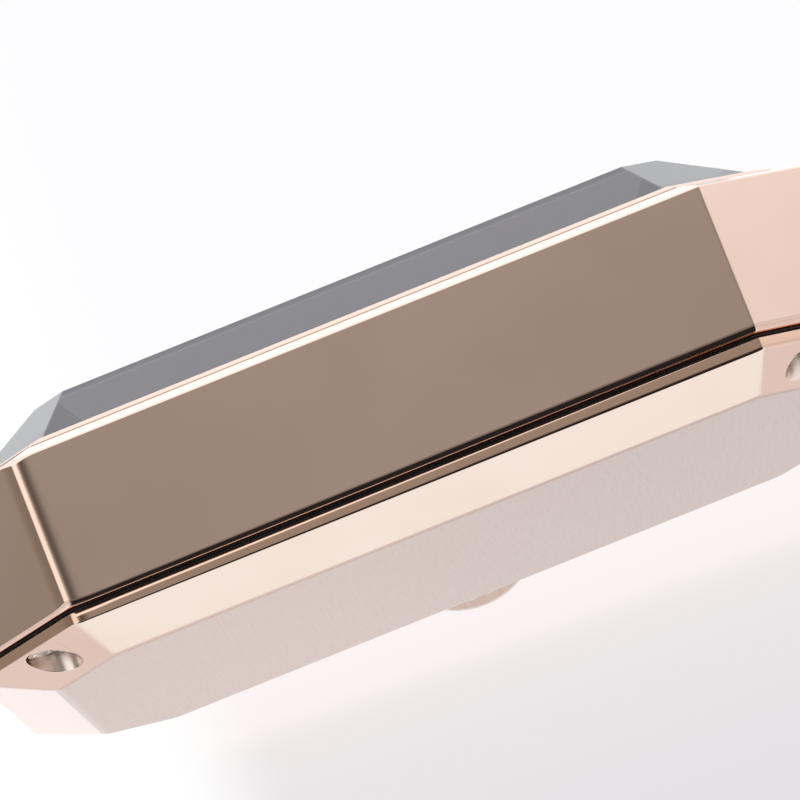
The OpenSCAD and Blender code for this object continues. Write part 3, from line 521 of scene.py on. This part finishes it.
def metal(name, colour, worn_colour, roughness, hairlines, haze, ripple):
    """Polished or plated metal, with hairlines, a slow drift of tone and paler edges."""
    made, tree = new_material(name, colour)
    finish = use(tree, polish, Roughness=roughness, Hairlines=hairlines, Haze=haze)
    worn = use(tree, wear)["Mask"]
    drift = noise(tree, in_millimetres(tree), 0.22)
    darker = tuple(c * f for c, f in zip(colour, (0.975, 0.96, 0.95)))
    toned = ramp(tree, drift, [(0.35, darker), (0.65, colour)])
    return finished(made, finish["Height"], ripple, {
        "Base Color": tint(tree, worn, toned, (*worn_colour, 1)), "Metallic": 1.0,
        "Roughness": finish["Roughness"]})


def dress(piece, material, slot, body, *nodes):
    """Gives a piece its material and body, and hides the imported nodes that it stands for. The slot is
    not used.
    """
    piece.data.materials.clear()
    piece.data.materials.append(material)
    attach(piece, body)
    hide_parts(*nodes)


rose = (0.90, 0.70, 0.61)
pale_rose = (0.93, 0.80, 0.73)
case_gold = metal("polished_rose_gold", rose, pale_rose, 0.035, 0.05, 0.03, 0.0004)
dress(case_middle, case_gold, "case_gold", "case", "case_middle")

# Strap lugs. A short block at each end of the case, cut from the same block of steel, with a
# round nose and a cross bore for the strap bar.
lug_w, lug_out, lug_h, bar_r, lug_soft, nose_points = 7.0, 2.6, 3.0, 0.6, 0.16, 33
lug_z = (band_bottom + band_top) / 2
for name, way in (("strap_lug_12", 1), ("strap_lug_6", -1)):
    nose = half_l + lug_out - lug_h / 2
    side_view = [(half_l, lug_z - lug_h / 2), (half_l, lug_z + lug_h / 2)]
    side_view += [(nose + lug_h / 2 * math.sin(a), lug_z + lug_h / 2 * math.cos(a))
                  for a in np.linspace(0, math.pi, nose_points)]
    side_view = np.array([(0, y, z) for y, z in side_view])
    middle = np.array([0, (half_l + nose) / 2, lug_z])
    shrink = 1 - 2 * lug_soft / lug_h
    path = []
    for x in (-lug_w / 2, lug_w / 2):
        face = [(middle + (side_view - middle) * (1, shrink, shrink) + (x, 0, 0), lug_soft / 4),
                (side_view + (x, 0, 0), lug_soft)]
        path += face if x < 0 else face[::-1]
    path[0], path[-1] = (path[0][0], 0), (path[-1][0], 0)
    lug = skin(name + "_block", [(line * (1, way, 1), r) for line, r in path])
    bore(lug, [((-lug_w, way * nose, lug_z), (lug_w, way * nose, lug_z), bar_r)], lip=0.05)
    dress(lug, case_gold, "case_gold", "case", name)

# Case back. A stamped and milled cover with a flat, eight slopes and an upright edge that is
# taller at the corner facets. Four screws hold it, each in a round recess in a corner slope.
back_in = 0.06
flat_in = (2.27, 1.96, 1.93)
ridge_side, ridge_facet = 0.82, 0.84
seam_gap = 0.13
back_edge_top = band_bottom - seam_gap
back_rim_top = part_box("caseback")[1].z / MM
floor_z, rim_in, rim_t, rim_round = 0.85, 1.95, 0.6, 0.05
flat_round, flat_corner_round = 0.9, 0.25
ridge_rounds = [(-9.75, 0.12), (-5.0, 0.14), (-2.5, 0.18), (2.0, 0.08), (9.75, 0.05)]
recess_r, recess_top, back_hole_r = 0.71, 1.10, 0.38
ridge_run, ridge_shift = 0.24, 0.03
side_depth, bore_overlap = 0.1, 0.2
glint_l, glint_round, seam_edge_round = 2.6, 0.22, 0.005
past_edge = []
for round_by, way in zip(upright_round, (1, -1) * 4):
    arc_run = corner_run(math.tau / 8, round_by)[0]
    arc_run -= arc_run[-1] / 2
    past_edge.append(way * np.concatenate([-arc_run[-1] - edge_leads, arc_run,
                                           arc_run[-1] + edge_leads[::-1]]))
rise = np.clip((np.concatenate(past_edge) - ridge_shift + ridge_run) / (2 * ridge_run), 0, 1)
ridge_z = ridge_facet + (ridge_side - ridge_facet) * rise * rise * (3 - 2 * rise)
seam_line = inset(back_in, back_edge_top, upright_round)
ridge_round = np.interp(seam_line[:, 1], *np.transpose(ridge_rounds))
near_nine = seam_line[:, 0] < side_depth - half_w
glint = np.clip(1 - (half_l - cut_y - seam_line[:, 1]) / glint_l, 0, 1) * near_nine
caseback = skin("caseback_cover", [
    (outline(*(d + 1 for d in flat_in), 0, flat_corner_round), 0),
    (outline(*flat_in, 0, flat_corner_round), flat_round),
    (outline(back_in, back_in, back_in, ridge_z, upright_round), ridge_round),
    (seam_line, seam_edge_round + glint_round * glint),
    (inset(rim_in, back_edge_top), edge_round),
    *insets(rim_round, (rim_in, back_rim_top), (rim_in + rim_t, back_rim_top),
            (rim_in + rim_t, floor_z)),
    (inset(rim_in + rim_t + 1, floor_z), 0)])
bore(caseback, [((x, y, -1), (x, y, recess_top), recess_r) for x, y in screw_places], lip=0.02)
bore(caseback, [((x, y, recess_top - bore_overlap), (x, y, back_rim_top), back_hole_r)
                for x, y in screw_places])


def cover_metal():
    """The case's rose gold, with a satin flat that is paler and softer than the slopes. The upright
    edge is painted a deeper gold as a painted reflection, the recess walls are rougher and painted
    paler as painted light, and the flat is painted darker towards 6 o'clock as painted shade."""
    made = case_gold.copy()
    made.name = "satin_rose_gold"
    tree = made.node_tree
    face = next(n for n in tree.nodes if n.type == "BSDF_PRINCIPLED")
    place = in_millimetres(tree)
    _, toward_12, height = put(tree, "ShaderNodeSeparateXYZ", {0: place}).outputs
    on_flat = grade(tree, height, 0.045, 0.005)
    painted_reflection_on_wall = grade(tree, height, 0.84, 0.90)
    lean = put(tree, "ShaderNodeSeparateXYZ", {
        0: put(tree, "ShaderNodeNewGeometry").outputs["True Normal"]}).outputs[2]
    in_recess = times(tree, grade(tree, calc(tree, "ABSOLUTE", lean), 0.5, 0.3),
                     grade(tree, height, 0.84, 0.80))
    grain = noise(tree, stretched(tree, place, (0, 0, 0.35), (0.5, 26, 1)), 1.0, 3.0)
    satin = scaled(tree, grain, 0.14, 0.12)
    polished = face.inputs["Roughness"].links[0].from_socket
    turned = out(tree, "ShaderNodeMix", {0: in_recess, 2: polished, 3: 0.24}, data_type="FLOAT")
    mixed = out(tree, "ShaderNodeMix", {0: on_flat, 2: turned, 3: satin}, data_type="FLOAT")
    tree.links.new(mixed, face.inputs["Roughness"])
    colour = face.inputs["Base Color"].links[0].from_socket
    # The upright edge is painted a deeper gold, a painted reflection of gold in gold.
    colour = tint(tree, painted_reflection_on_wall, colour, (0.86, 0.60, 0.47, 1))
    # The recess walls are painted paler, as painted light in the hollows; their rougher turned finish is
    # real.
    colour = tint(tree, in_recess, colour, (0.95, 0.84, 0.78, 1))
    # The satin flat is painted darker towards 6 o'clock, as painted shade over its own satin tone.
    satin_and_painted_shade = ramp(tree, grade(tree, toward_12, -11.0, 11.0), [
        (0.1, (0.625, 0.50, 0.462)), (0.9, (0.735, 0.585, 0.535))])
    tree.links.new(tint(tree, on_flat, colour, satin_and_painted_shade), face.inputs["Base Color"])
    return made


dress(caseback, cover_metal(), "case_gold", "case", "caseback")

# Case back gasket. A flat ring of black rubber, moulded to the outline of the case. It lies in
# the seam between the cover and the case, where the screws squeeze it.


def paint(material, *names):
    """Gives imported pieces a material."""
    for name in names:
        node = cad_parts[name]
        if not node.material_slots:
            node.data.materials.append(material)
        for place in node.material_slots:
            place.material = material


def plain(name, colour, darker, roughness, grain_scale, grain_depth, **surface):
    """A moulded or painted finish, mottled and finely grained."""
    made, tree = new_material(name, colour)
    place = in_millimetres(tree)
    mottle = noise(tree, place, 0.8, 4.0)
    grain = noise(tree, place, grain_scale, 3.0)
    return finished(made, grain, grain_depth, {
        "Base Color": ramp(tree, mottle, [(0.35, darker), (0.65, colour)]),
        "Roughness": scaled(tree, grain, 0.12, roughness), **surface})


rubber = plain("black_rubber", (0.03, 0.03, 0.032), (0.018, 0.018, 0.02), 0.5, 12, 0.004)
paint(rubber, "crown_gasket")
gasket_in = 0.45
seam_ring = skin("seam_gasket_ring", insets(
    edge_round, (gasket_in, back_edge_top), (gasket_in, band_bottom),
    (wall_t, band_bottom), (wall_t, back_edge_top)), closed=True)
dress(seam_ring, rubber, "black_rubber", "case", "caseback_gasket")

# Case back screws. Four turned steel screws, plated like the case, whose heads lie in the
# recesses. A cross of two wedge shaped grooves in the head takes the driver.


def geometry_tree(name, **inputs):
    """A geometry tree with named inputs, each a number or a kind, and what they give."""
    tree = bpy.data.node_groups.new(name, "GeometryNodeTree")
    for label, value in inputs.items():
        kind = {float: "Float", int: "Int"}.get(type(value), value)
        socket = tree.interface.new_socket(label.replace("_", " "), in_out="INPUT",
                                           socket_type="NodeSocket" + kind)
        if kind != value:
            socket.default_value = value
    tree.interface.new_socket("Geometry", in_out="OUTPUT", socket_type="NodeSocketGeometry")
    return tree, put(tree, "NodeGroupInput").outputs


def ends_in(tree, instances, material):
    """Ends a geometry tree in real meshes with their material."""
    real = out(tree, "GeometryNodeRealizeInstances", {0: instances})
    done = out(tree, "GeometryNodeSetMaterial", {0: real, 2: material})
    put(tree, "NodeGroupOutput", {0: done})


def grown(piece, tree, **values):
    """Runs a geometry tree on a piece and keeps what it makes as the piece's own mesh."""
    modifier = piece.modifiers.new(tree.name, "NODES")
    modifier.node_group = tree
    sockets = {s.name: s.identifier for s in tree.interface.items_tree
               if s.item_type == "SOCKET" and s.in_out == "INPUT"}
    for label, value in values.items():
        modifier[sockets[label.replace("_", " ")]] = value
    return applied(piece)


def empty_piece(name):
    """A piece whose mesh a geometry tree makes."""
    return linked(name, bpy.data.meshes.new(name))


def ease_edges(piece, width, steps, over=0.5, level_only=False):
    """Rounds the outer edges that turn by more than an angle, or just the level ones."""
    with edited(piece) as work:
        bmesh.ops.remove_doubles(work, verts=work.verts, dist=1e-6)
        bmesh.ops.recalc_face_normals(work, faces=work.faces)
        sharp = [e for e in work.edges
                 if len(e.link_faces) == 2 and e.is_convex and e.calc_face_angle() > over
                 and not (level_only and abs(e.verts[0].co.z - e.verts[1].co.z) > 1e-7)]
        bmesh.ops.bevel(work, geom=sharp, offset=width * MM, segments=steps, profile=0.5, affect="EDGES")
    settle(piece)


def moved(tree, shape, shift=(0, 0, 0), turn=(0, 0, 0)):
    """A Transform Geometry node's result."""
    inputs = {"Geometry": shape, "Translation": shift, "Rotation": turn}
    return out(tree, "GeometryNodeTransform", inputs)


def vector(tree, x=0.0, y=0.0, z=0.0):
    """A vector from three values."""
    return out(tree, "ShaderNodeCombineXYZ", {0: x, 1: y, 2: z})


tree, given = geometry_tree(
    "recessed_screws", Across=0.016, Along=0.022, Level=0.0008, Head_radius=0.00064,
    Head_height=0.0003, Groove_depth=0.0002, Groove_turn=0.5, Shank_radius=0.00033,
    Shank_length=0.0024, Material="Material")
head = out(tree, "GeometryNodeMeshCylinder", {
    "Vertices": 64, "Radius": given["Head radius"], "Depth": given["Head height"]})
head = moved(tree, head, vector(tree, z=times(tree, given["Head height"], 0.5)))
groove = out(tree, "GeometryNodeMeshCylinder", {
    "Vertices": 4, "Radius": given["Groove depth"],
    "Depth": times(tree, given["Head radius"], 1.5)})
groove = moved(tree, groove, turn=(0, math.pi / 2, 0))
for quarter in (0.0, math.pi / 2):
    turn = vector(tree, z=calc(tree, "ADD", given["Groove turn"], quarter))
    head = out(tree, "GeometryNodeMeshBoolean", {"Mesh 1": head, "Mesh 2": moved(
        tree, groove, turn=turn)}, operation="DIFFERENCE", solver="EXACT")
shank = out(tree, "GeometryNodeMeshCylinder", {
    "Vertices": 32, "Radius": given["Shank radius"], "Depth": given["Shank length"]})
shank = moved(tree, shank, vector(tree, z=scaled(
    tree, given["Shank length"], 0.5, given["Head height"])))
screw = put(tree, "GeometryNodeJoinGeometry")
for part in (head, shank):
    tree.links.new(part, screw.inputs[0])
corners = out(tree, "GeometryNodeMeshGrid", {
    "Size X": given["Across"], "Size Y": given["Along"], "Vertices X": 2, "Vertices Y": 2})
placed = out(tree, "GeometryNodeInstanceOnPoints", {0: corners, 2: screw.outputs[0]})
ends_in(tree, moved(tree, placed, vector(tree, z=given["Level"])), given["Material"])

screw_low, screw_high = (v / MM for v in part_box("caseback_screws"))
screw_head_r, screw_head_h, shank_r, head_round = 0.64, 0.3, 0.33, 0.015
groove_depth, groove_turn = 0.2, 12
# The screws' gold is painted paler than the case's plating, as painted light in the recesses.
screw_gold = metal("screw_rose_gold", (0.92, 0.80, 0.73), (0.93, 0.88, 0.83), 0.30, 0.06, 0.03, 0.0002)
screws = grown(empty_piece("caseback_screw_set"), tree, Across=2 * screw_x * MM,
               Along=2 * screw_y * MM, Level=screw_low.z * MM, Head_radius=screw_head_r * MM,
               Head_height=screw_head_h * MM, Groove_depth=groove_depth * MM,
               Groove_turn=math.radians(groove_turn), Shank_radius=shank_r * MM,
               Shank_length=(screw_high.z - screw_low.z - screw_head_h) * MM, Material=screw_gold)
ease_edges(screws, head_round, 2, level_only=True)
dress(screws, screw_gold, "screw_gold", "case", "caseback_screws")

# Bezel. A thin plated ring, pressed into the case, that holds the crystal and its gasket.
# Its top slopes up to the crystal, and a fine step parts it from the shoulder.
fit = 0.05
glass_in = (2.25, 1.80, 2.15)
gasket_t, bezel_step = 0.2, 0.05
bezel_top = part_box("bezel")[1].z / MM
bezel_out, bezel_corner, bezel_round, bezel_rise = (shoulder_w + fit,) * 3, 0.1, 0.03, 0.02
bezel_hole = tuple(d - gasket_t for d in glass_in)
steep_w, steep_h, steep_corner, hole_corner = 0.12, 0.13, 0.09, 0.06
bezel = skin("bezel_ring", [
    (outline(*bezel_out, ledge_z, bezel_corner), edge_round),
    (outline(*bezel_out, case_top + bezel_step, bezel_corner), bezel_round),
    (outline(*(d - steep_w for d in bezel_hole), bezel_top - steep_h, steep_corner), bezel_round),
    (outline(*bezel_hole, bezel_top + bezel_rise, hole_corner), bezel_round),
    (outline(*bezel_hole, ledge_z, hole_corner), edge_round)], closed=True)
dress(bezel, case_gold, "case_gold", "case", "bezel")

# Crystal. Thick glass, ground and polished to a flat table with eight wide facets above an
# upright edge. The edges between the facets are crisp.
facet_wide = (2.64, 2.14, 2.34)
glass_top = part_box("crystal")[1].z / MM
table_in = tuple(a + b for a, b in zip(glass_in, facet_wide))
glass_corner, glass_round = 0.05, 0.025
crystal = skin("crystal_glass_block", [
    (outline(*(d + 1 for d in glass_in), ledge_z, glass_corner), 0),
    (outline(*glass_in, ledge_z, glass_corner), glass_round),
    (outline(*glass_in, bezel_top, glass_corner), glass_round),
    (outline(*table_in, glass_top, glass_corner), glass_round),
    (outline(*(d + 1 for d in table_in), glass_top, glass_corner), 0)])


def crystal_glass():
    """Slightly smoky glass. It lets the lamps' light through to the dial."""
    made, tree = new_material("faceted_glass", (0.8, 0.82, 0.85), 0.3)
    finish = use(tree, polish, Roughness=0.0, Hairlines=0.02, Haze=0.004)
    cast = ramp(tree, noise(tree, in_millimetres(tree), 0.15), [
        (0.3, (0.93, 0.94, 0.96)), (0.7, (0.96, 0.97, 0.98))])
    glass = out(tree, "ShaderNodeBsdfPrincipled", {
        "Base Color": cast, "Roughness": finish["Roughness"], "IOR": 1.62,
        "Transmission Weight": 1.0})
    open_air = out(tree, "ShaderNodeBsdfTransparent", {0: (0.9, 0.91, 0.92, 1)})
    shadow = put(tree, "ShaderNodeLightPath").outputs["Is Shadow Ray"]
    surface = out(tree, "ShaderNodeMixShader", {0: shadow, 1: glass, 2: open_air})
    smoke = out(tree, "ShaderNodeVolumeAbsorption", {
        "Color": (0.47, 0.48, 0.50, 1), "Density": 320.0})
    put(tree, "ShaderNodeOutputMaterial", {"Surface": surface, "Volume": smoke})
    return made


dress(crystal, crystal_glass(), "crystal_glass", "case", "crystal")

# Crystal gasket. A ring of hard white plastic, pressed in between the crystal's upright edge
# and the bezel, so that its grip holds the glass.
paint(plain("white_gasket", (0.80, 0.79, 0.76), (0.72, 0.71, 0.68), 0.28, 6, 0.002), "crystal_gasket")

# Dial. A brass plate with a hole for the hands, coated in deep black lacquer over a fine
# brushing that fans out from the middle.
dial_in, dial_hole_r = wall_t + fit, 0.85
dial_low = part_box("dial")[0].z / MM
dial = skin("dial_plate", [
    (inset(dial_in + 1, dial_low), 0),
    *insets(edge_round, (dial_in, dial_low), (dial_in, dial_top)),
    (inset(dial_in + 1, dial_top), 0)])
bore(dial, [((0, 0, dial_low - 1), (0, 0, dial_top + 1), dial_hole_r)], lip=0.03)


def black_lacquer():
    """Gloss black over a sunray brushing."""
    made, tree = new_material("black_lacquer", (0.01, 0.01, 0.012))
    x, y, _ = put(tree, "ShaderNodeSeparateXYZ", {0: in_millimetres(tree)}).outputs
    turn = calc(tree, "ARCTAN2", y, x)
    ray = vector(tree, calc(tree, "COSINE", turn), calc(tree, "SINE", turn))
    streak = noise(tree, ray, 60.0, 3.0)
    return finished(made, streak, 0.0015, {
        "Base Color": ramp(tree, streak, [(0.35, (0.008, 0.008, 0.010)), (0.65, (0.022, 0.022, 0.026))]),
        "Roughness": scaled(tree, streak, 0.10, 0.22),
        "Specular IOR Level": 0.2, "Coat Weight": 0.35, "Coat Roughness": 0.03})


dress(dial, black_lacquer(), "dial_black", "case", "dial")

# Hour markers. Twelve polished gilt batons with softened edges. Each is riveted to the dial at
# the end of its ray, just inside the opening in the case.
marker_l, marker_w, marker_in, marker_count, marker_round = 1.3, 0.3, 0.6, 12, 0.04
marker_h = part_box("hour_markers")[1].z / MM - dial_top
opening = wall_t + ledge_w + marker_in
tree, given = geometry_tree(
    "dial_markers", Count=12, Half_width=0.006, Half_length=0.009, Facet_distance=0.01,
    Facet_x=0.67, Facet_y=0.75, Marker_length=0.0013, Marker_width=0.0003,
    Marker_height=0.0001, Level=0.004, Material="Material")
index = out(tree, "GeometryNodeInputIndex")
ray_turn = times(tree, index, calc(tree, "DIVIDE", -math.tau, given["Count"]))
ray_x = times(tree, calc(tree, "SINE", ray_turn), -1.0)
ray_y = calc(tree, "COSINE", ray_turn)
size_x, size_y = (calc(tree, "ABSOLUTE", v) for v in (ray_x, ray_y))
to_facet = calc(tree, "DIVIDE", given["Facet distance"], scaled(
    tree, size_x, given["Facet x"],
    times(tree, size_y, given["Facet y"])))
to_side = calc(tree, "DIVIDE", given["Half width"], calc(tree, "MAXIMUM", size_x, 0.01))
to_end = calc(tree, "DIVIDE", given["Half length"], calc(tree, "MAXIMUM", size_y, 0.01))
reach = calc(tree, "SUBTRACT",
             calc(tree, "MINIMUM", to_facet, calc(tree, "MINIMUM", to_side, to_end)),
             times(tree, given["Marker length"], 0.5))
middle_z = scaled(tree, given["Marker height"], 0.5, given["Level"])
baton = out(tree, "GeometryNodeMeshCube", {0: vector(
    tree, given["Marker width"], given["Marker length"], given["Marker height"])})
spots = out(tree, "GeometryNodePoints", {"Count": given["Count"], "Position": vector(
    tree, times(tree, ray_x, reach), times(tree, ray_y, reach), middle_z)})
laid = out(tree, "GeometryNodeInstanceOnPoints", {
    "Points": spots, "Instance": baton, "Rotation": vector(tree, z=ray_turn)})
ends_in(tree, laid, given["Material"])
marker_gold = metal("gilt_marker", (0.90, 0.68, 0.57), (0.94, 0.80, 0.70), 0.05, 0.05, 0.02, 0.0003)
markers = grown(empty_piece("hour_baton_set"), tree, Count=marker_count,
                Half_width=(half_w - opening) * MM, Half_length=(half_l - opening) * MM,
                Facet_distance=(facet_out - opening) * MM, Facet_x=float(across_facet[0]),
                Facet_y=float(across_facet[1]), Marker_length=marker_l * MM,
                Marker_width=marker_w * MM, Marker_height=marker_h * MM, Level=dial_top * MM,
                Material=marker_gold)
ease_edges(markers, marker_round, 2)
dress(markers, marker_gold, "marker_gold", "case", "hour_markers")

# Hands. Two stamped batons with a ridge along the middle, each on a round boss that is
# pressed onto its pipe. They show nine minutes past ten.
hand_t, hand_tail, boss_more, taper_at, tail_share = 0.13, 1.3, 0.34, 0.7, 0.6
ridge_from_tail, ridge_from_tip, side_height = 0.15, 0.25, 0.4
boss_rise, boss_round, boss_points, hand_round = 0.004, 0.025, 64, 0.005
for name, length, width, bore_r, degrees in (("minute_hand", 6.2, 0.44, 0.47, 9 * 6),
                                             ("hour_hand", 4.2, 0.56, 0.75, (10 + 9 / 60) * 30)):
    low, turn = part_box(name)[0].z / MM, math.radians(degrees)
    plan = [(-width / 2 * tail_share, -hand_tail), (width / 2 * tail_share, -hand_tail),
            (width / 2, length * taper_at), (0, length), (-width / 2, length * taper_at)]
    ridge = [(0, -hand_tail + ridge_from_tail), (0, length * taper_at), (0, length - ridge_from_tip)]
    points = [(x, y, low) for x, y in plan] + [(x, y, low + side_height * hand_t) for x, y in plan]
    points += [(x, y, low + hand_t) for x, y in ridge]
    faces = [(4, 3, 2, 1, 0)] + [(i, (i + 1) % 5, (i + 1) % 5 + 5, i + 5) for i in range(5)]
    faces += [(5, 6, 10), (6, 7, 11, 10), (7, 8, 12, 11), (8, 9, 11, 12), (9, 5, 10, 11)]
    c, s = math.cos(turn), math.sin(turn)
    baton = add_piece(name + "_baton", np.array(points) @ [[c, -s, 0], [s, c, 0], [0, 0, 1]], faces)
    round_at = np.linspace(0, math.tau, boss_points, endpoint=False)
    rings = [np.column_stack([r * np.cos(round_at), r * np.sin(round_at), np.full(boss_points, z)])
             for r, z in ((bore_r, low + boss_rise), (bore_r + boss_more, low + boss_rise),
                          (bore_r + boss_more, low + hand_t), (bore_r, low + hand_t))]
    bore(baton, [((0, 0, low - 1), (0, 0, low + 1), bore_r + boss_more / 2)])
    combined(baton, skin("boss", [(ring, boss_round) for ring in rings], closed=True), "UNION")
    ease_edges(baton, hand_round, 1, 0.3)
    dress(baton, marker_gold, "marker_gold", name, name)

# Crown. A turned and fluted button with a bevelled rim and a low dome, bored from the case
# side so that it covers the tube. It is plated like the case.
crown_low, crown_high = (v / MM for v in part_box("crown"))
crown_r, crown_l = 2.35, crown_high.x - crown_low.x
flutes, flute_r, flute_out, flute_end, flute_runout = 24, 0.2, 0.08, 1.0, 0.9
crown_bore_r, crown_bore_l, stem_hole_r, stem_hole_l = 1.35, 1.75, 0.42, 0.6
foot, bevel, dome, flare = 0.25, 0.35, 0.35, 0.08
half_wedge = [0.6, 1.8, 3.0, 3.9, 4.4, 5.0, 6.2, 180 / flutes]
wedge = np.radians([-a for a in half_wedge[::-1]] + half_wedge)
flute_at = crown_r + flute_out
inside = np.maximum(flute_r ** 2 - (flute_at * np.sin(wedge)) ** 2, 0)
fluted_r = np.where(inside > 0, flute_at * np.cos(wedge) - np.sqrt(inside), crown_r + 1)


def turned(x, radius, round_by, cut=False):
    """A stop on the crown's path, as one flute's share of a line turned round its axis."""
    r = np.minimum(radius, fluted_r) if cut else np.full(len(wedge), radius)
    return np.column_stack([np.full(len(wedge), crown_low.x + x), r * np.cos(wedge),
                            stem_z + r * np.sin(wedge)]), round_by


near_axis, inner_round, mouth_round, skirt_round, runout_round = 0.0005, 0.01, 0.04, 0.06, 0.03
rim_r, bevel_round = crown_r + flare, 0.005
face_r = rim_r - 2 * bevel
edge_fall, middle_fall, dome_edge_round, dome_round = 0.4 * dome, 0.1 * dome, 0.4, 0.6
crown_path = [turned(*stop) for stop in (
    (crown_bore_l + stem_hole_l, near_axis, 0),
    (crown_bore_l + stem_hole_l, stem_hole_r, inner_round),
    (crown_bore_l, stem_hole_r, inner_round), (crown_bore_l, crown_bore_r, 2 * inner_round),
    (0, crown_bore_r, mouth_round), (0, crown_r - foot, skirt_round, True),
    (foot, crown_r, skirt_round, True), (flute_end, crown_r, runout_round, True),
    (flute_end + flute_runout, rim_r, runout_round),
    *((crown_l - dome - bevel * (1 - math.sin(a)), rim_r - bevel * (1 - math.cos(a)), bevel_round)
      for a in np.radians(np.arange(0, 91, 6))),
    (crown_l - edge_fall, face_r, dome_edge_round), (crown_l - middle_fall, face_r / 2, dome_round),
    (crown_l, near_axis, 0))]
crown = skin("crown_button", crown_path, around=False)
tree, given = geometry_tree(
    "flutes_round_the_stem", Geometry="Geometry", Flutes=24,
    Stem_height=0.0028, Join_within=1e-6, Material="Material")
wedge_turn = times(tree, out(tree, "GeometryNodeInputIndex"),
                  calc(tree, "DIVIDE", math.tau, given["Flutes"]))
to_axis = vector(tree, z=times(tree, given["Stem height"], -1.0))
one_flute = moved(tree, given["Geometry"], to_axis)
starts = out(tree, "GeometryNodePoints", {"Count": given["Flutes"], "Position": (0, 0, 0)})
fanned = out(tree, "GeometryNodeInstanceOnPoints", {
    "Points": starts, "Instance": one_flute, "Rotation": vector(tree, wedge_turn)})
joined = out(tree, "GeometryNodeRealizeInstances", {0: moved(
    tree, fanned, vector(tree, z=given["Stem height"]))})
merged = out(tree, "GeometryNodeMergeByDistance", {
    "Geometry": joined, "Distance": given["Join within"]})
ends_in(tree, merged, given["Material"])
# The crown's gold is painted darker than the case's plating, as painted shade.
crown_gold = metal("crown_rose_gold", (0.74, 0.56, 0.48), (0.84, 0.69, 0.61), 0.12, 0.05, 0.04, 0.0004)
crown = settle(grown(crown, tree, Flutes=flutes, Stem_height=stem_z * MM, Join_within=0.001 * MM,
                     Material=crown_gold))
dress(crown, crown_gold, "case_gold", "crown", "crown")

# Crown tube, stem and setting parts. Turned and ground steel, with fine lines round the stem.
# The tube is pressed into the case, and the stem runs through it to the setting parts.
brushed, given = new_group(
    "brushed_grain", [("Roughness", 0.2), ("Spread", 0.2)], ["Roughness", "Height"])
lines = noise(brushed, stretched(brushed, in_millimetres(brushed), (0, 0, 0), (30, 0.8, 30)), 1.0, 3.0)
put(brushed, "NodeGroupOutput", {"Height": lines, "Roughness": scaled(
    brushed, lines, given["Spread"], given["Roughness"])})


def worked(name, colour, darker, roughness, spread, depth):
    """Ground or turned metal with a grain that runs one way, and slightly worn edges."""
    made, tree = new_material(name, colour)
    grain = use(tree, brushed, Roughness=roughness, Spread=spread)
    worn = use(tree, wear, Width=0.05, Spread=0.6)["Mask"]
    toned = ramp(tree, grain["Height"], [(0.3, darker), (0.7, colour)])
    lighter = tuple(min(1, c * 1.08) for c in colour)
    return finished(made, grain["Height"], depth, {
        "Base Color": tint(tree, worn, toned, (*lighter, 1)), "Metallic": 1.0,
        "Roughness": grain["Roughness"]})


paint(worked("ground_steel", (0.66, 0.67, 0.69), (0.56, 0.57, 0.59), 0.16, 0.18, 0.002),
      "crown_tube", "stem", "setting_pinion", "setting_lever", "cannon_pinion", "rotor")

# Movement. A gilt main plate in a white plastic holder carries the wheels, which a steel
# bridge closes. Brass wheels, a steel motor with a copper coil, a green board and the battery.
paint(plain("holder_white", (0.78, 0.77, 0.74), (0.70, 0.69, 0.66), 0.42, 9, 0.004), "movement_holder")
paint(worked("gilt_plate", (0.80, 0.62, 0.30), (0.70, 0.53, 0.25), 0.24, 0.14, 0.002),
      "main_plate", "dial_washer", "battery_clamp")
paint(worked("wheel_brass", (0.86, 0.68, 0.34), (0.76, 0.58, 0.28), 0.18, 0.12, 0.001),
      "hour_wheel", "minute_wheel", "centre_wheel", "third_wheel", "fourth_wheel", "fifth_wheel")
paint(worked("bridge_steel", (0.70, 0.70, 0.71), (0.61, 0.61, 0.63), 0.22, 0.16, 0.002),
      "train_bridge", "bridge_screws", "quartz_can")
paint(worked("core_steel", (0.55, 0.56, 0.59), (0.47, 0.48, 0.51), 0.30, 0.16, 0.003),
      "coil_core", "stator")
paint(worked("battery_steel", (0.74, 0.74, 0.75), (0.68, 0.68, 0.70), 0.20, 0.10, 0.001), "battery")
paint(plain("board_green", (0.03, 0.16, 0.08), (0.02, 0.11, 0.055), 0.35, 14, 0.003,
            **{"Coat Weight": 0.5}), "circuit_board")
paint(plain("chip_black", (0.025, 0.025, 0.027), (0.015, 0.015, 0.017), 0.48, 20, 0.004), "circuit_chip")
paint(plain("amber_film", (0.55, 0.27, 0.06), (0.47, 0.22, 0.045), 0.22, 5, 0.001), "battery_insulator")


def copper_winding():
    """Enamelled copper wire, wound in close turns along the coil."""
    wire_pitch, texture_turns = 0.05, 20
    made, tree = new_material("copper_winding", (0.6, 0.28, 0.12))
    place = in_millimetres(tree)
    turns = put(tree, "ShaderNodeTexWave", {
        "Vector": place, "Scale": math.tau / wire_pitch / texture_turns, "Distortion": 0.3,
        "Detail": 1.0}, wave_type="BANDS", bands_direction="X", wave_profile="SIN").outputs[1]
    return finished(made, turns, 0.012, {
        # The troughs between the turns are painted darker, as painted shade.
        "Base Color": ramp(tree, turns, [(0.1, (0.30, 0.11, 0.04)), (0.8, (0.74, 0.34, 0.15))]),
        "Metallic": 1.0, "Roughness": scaled(tree, noise(tree, place, 4.0), 0.2, 0.2),
        "Coat Weight": 0.6})


paint(copper_winding(), "motor_coil")
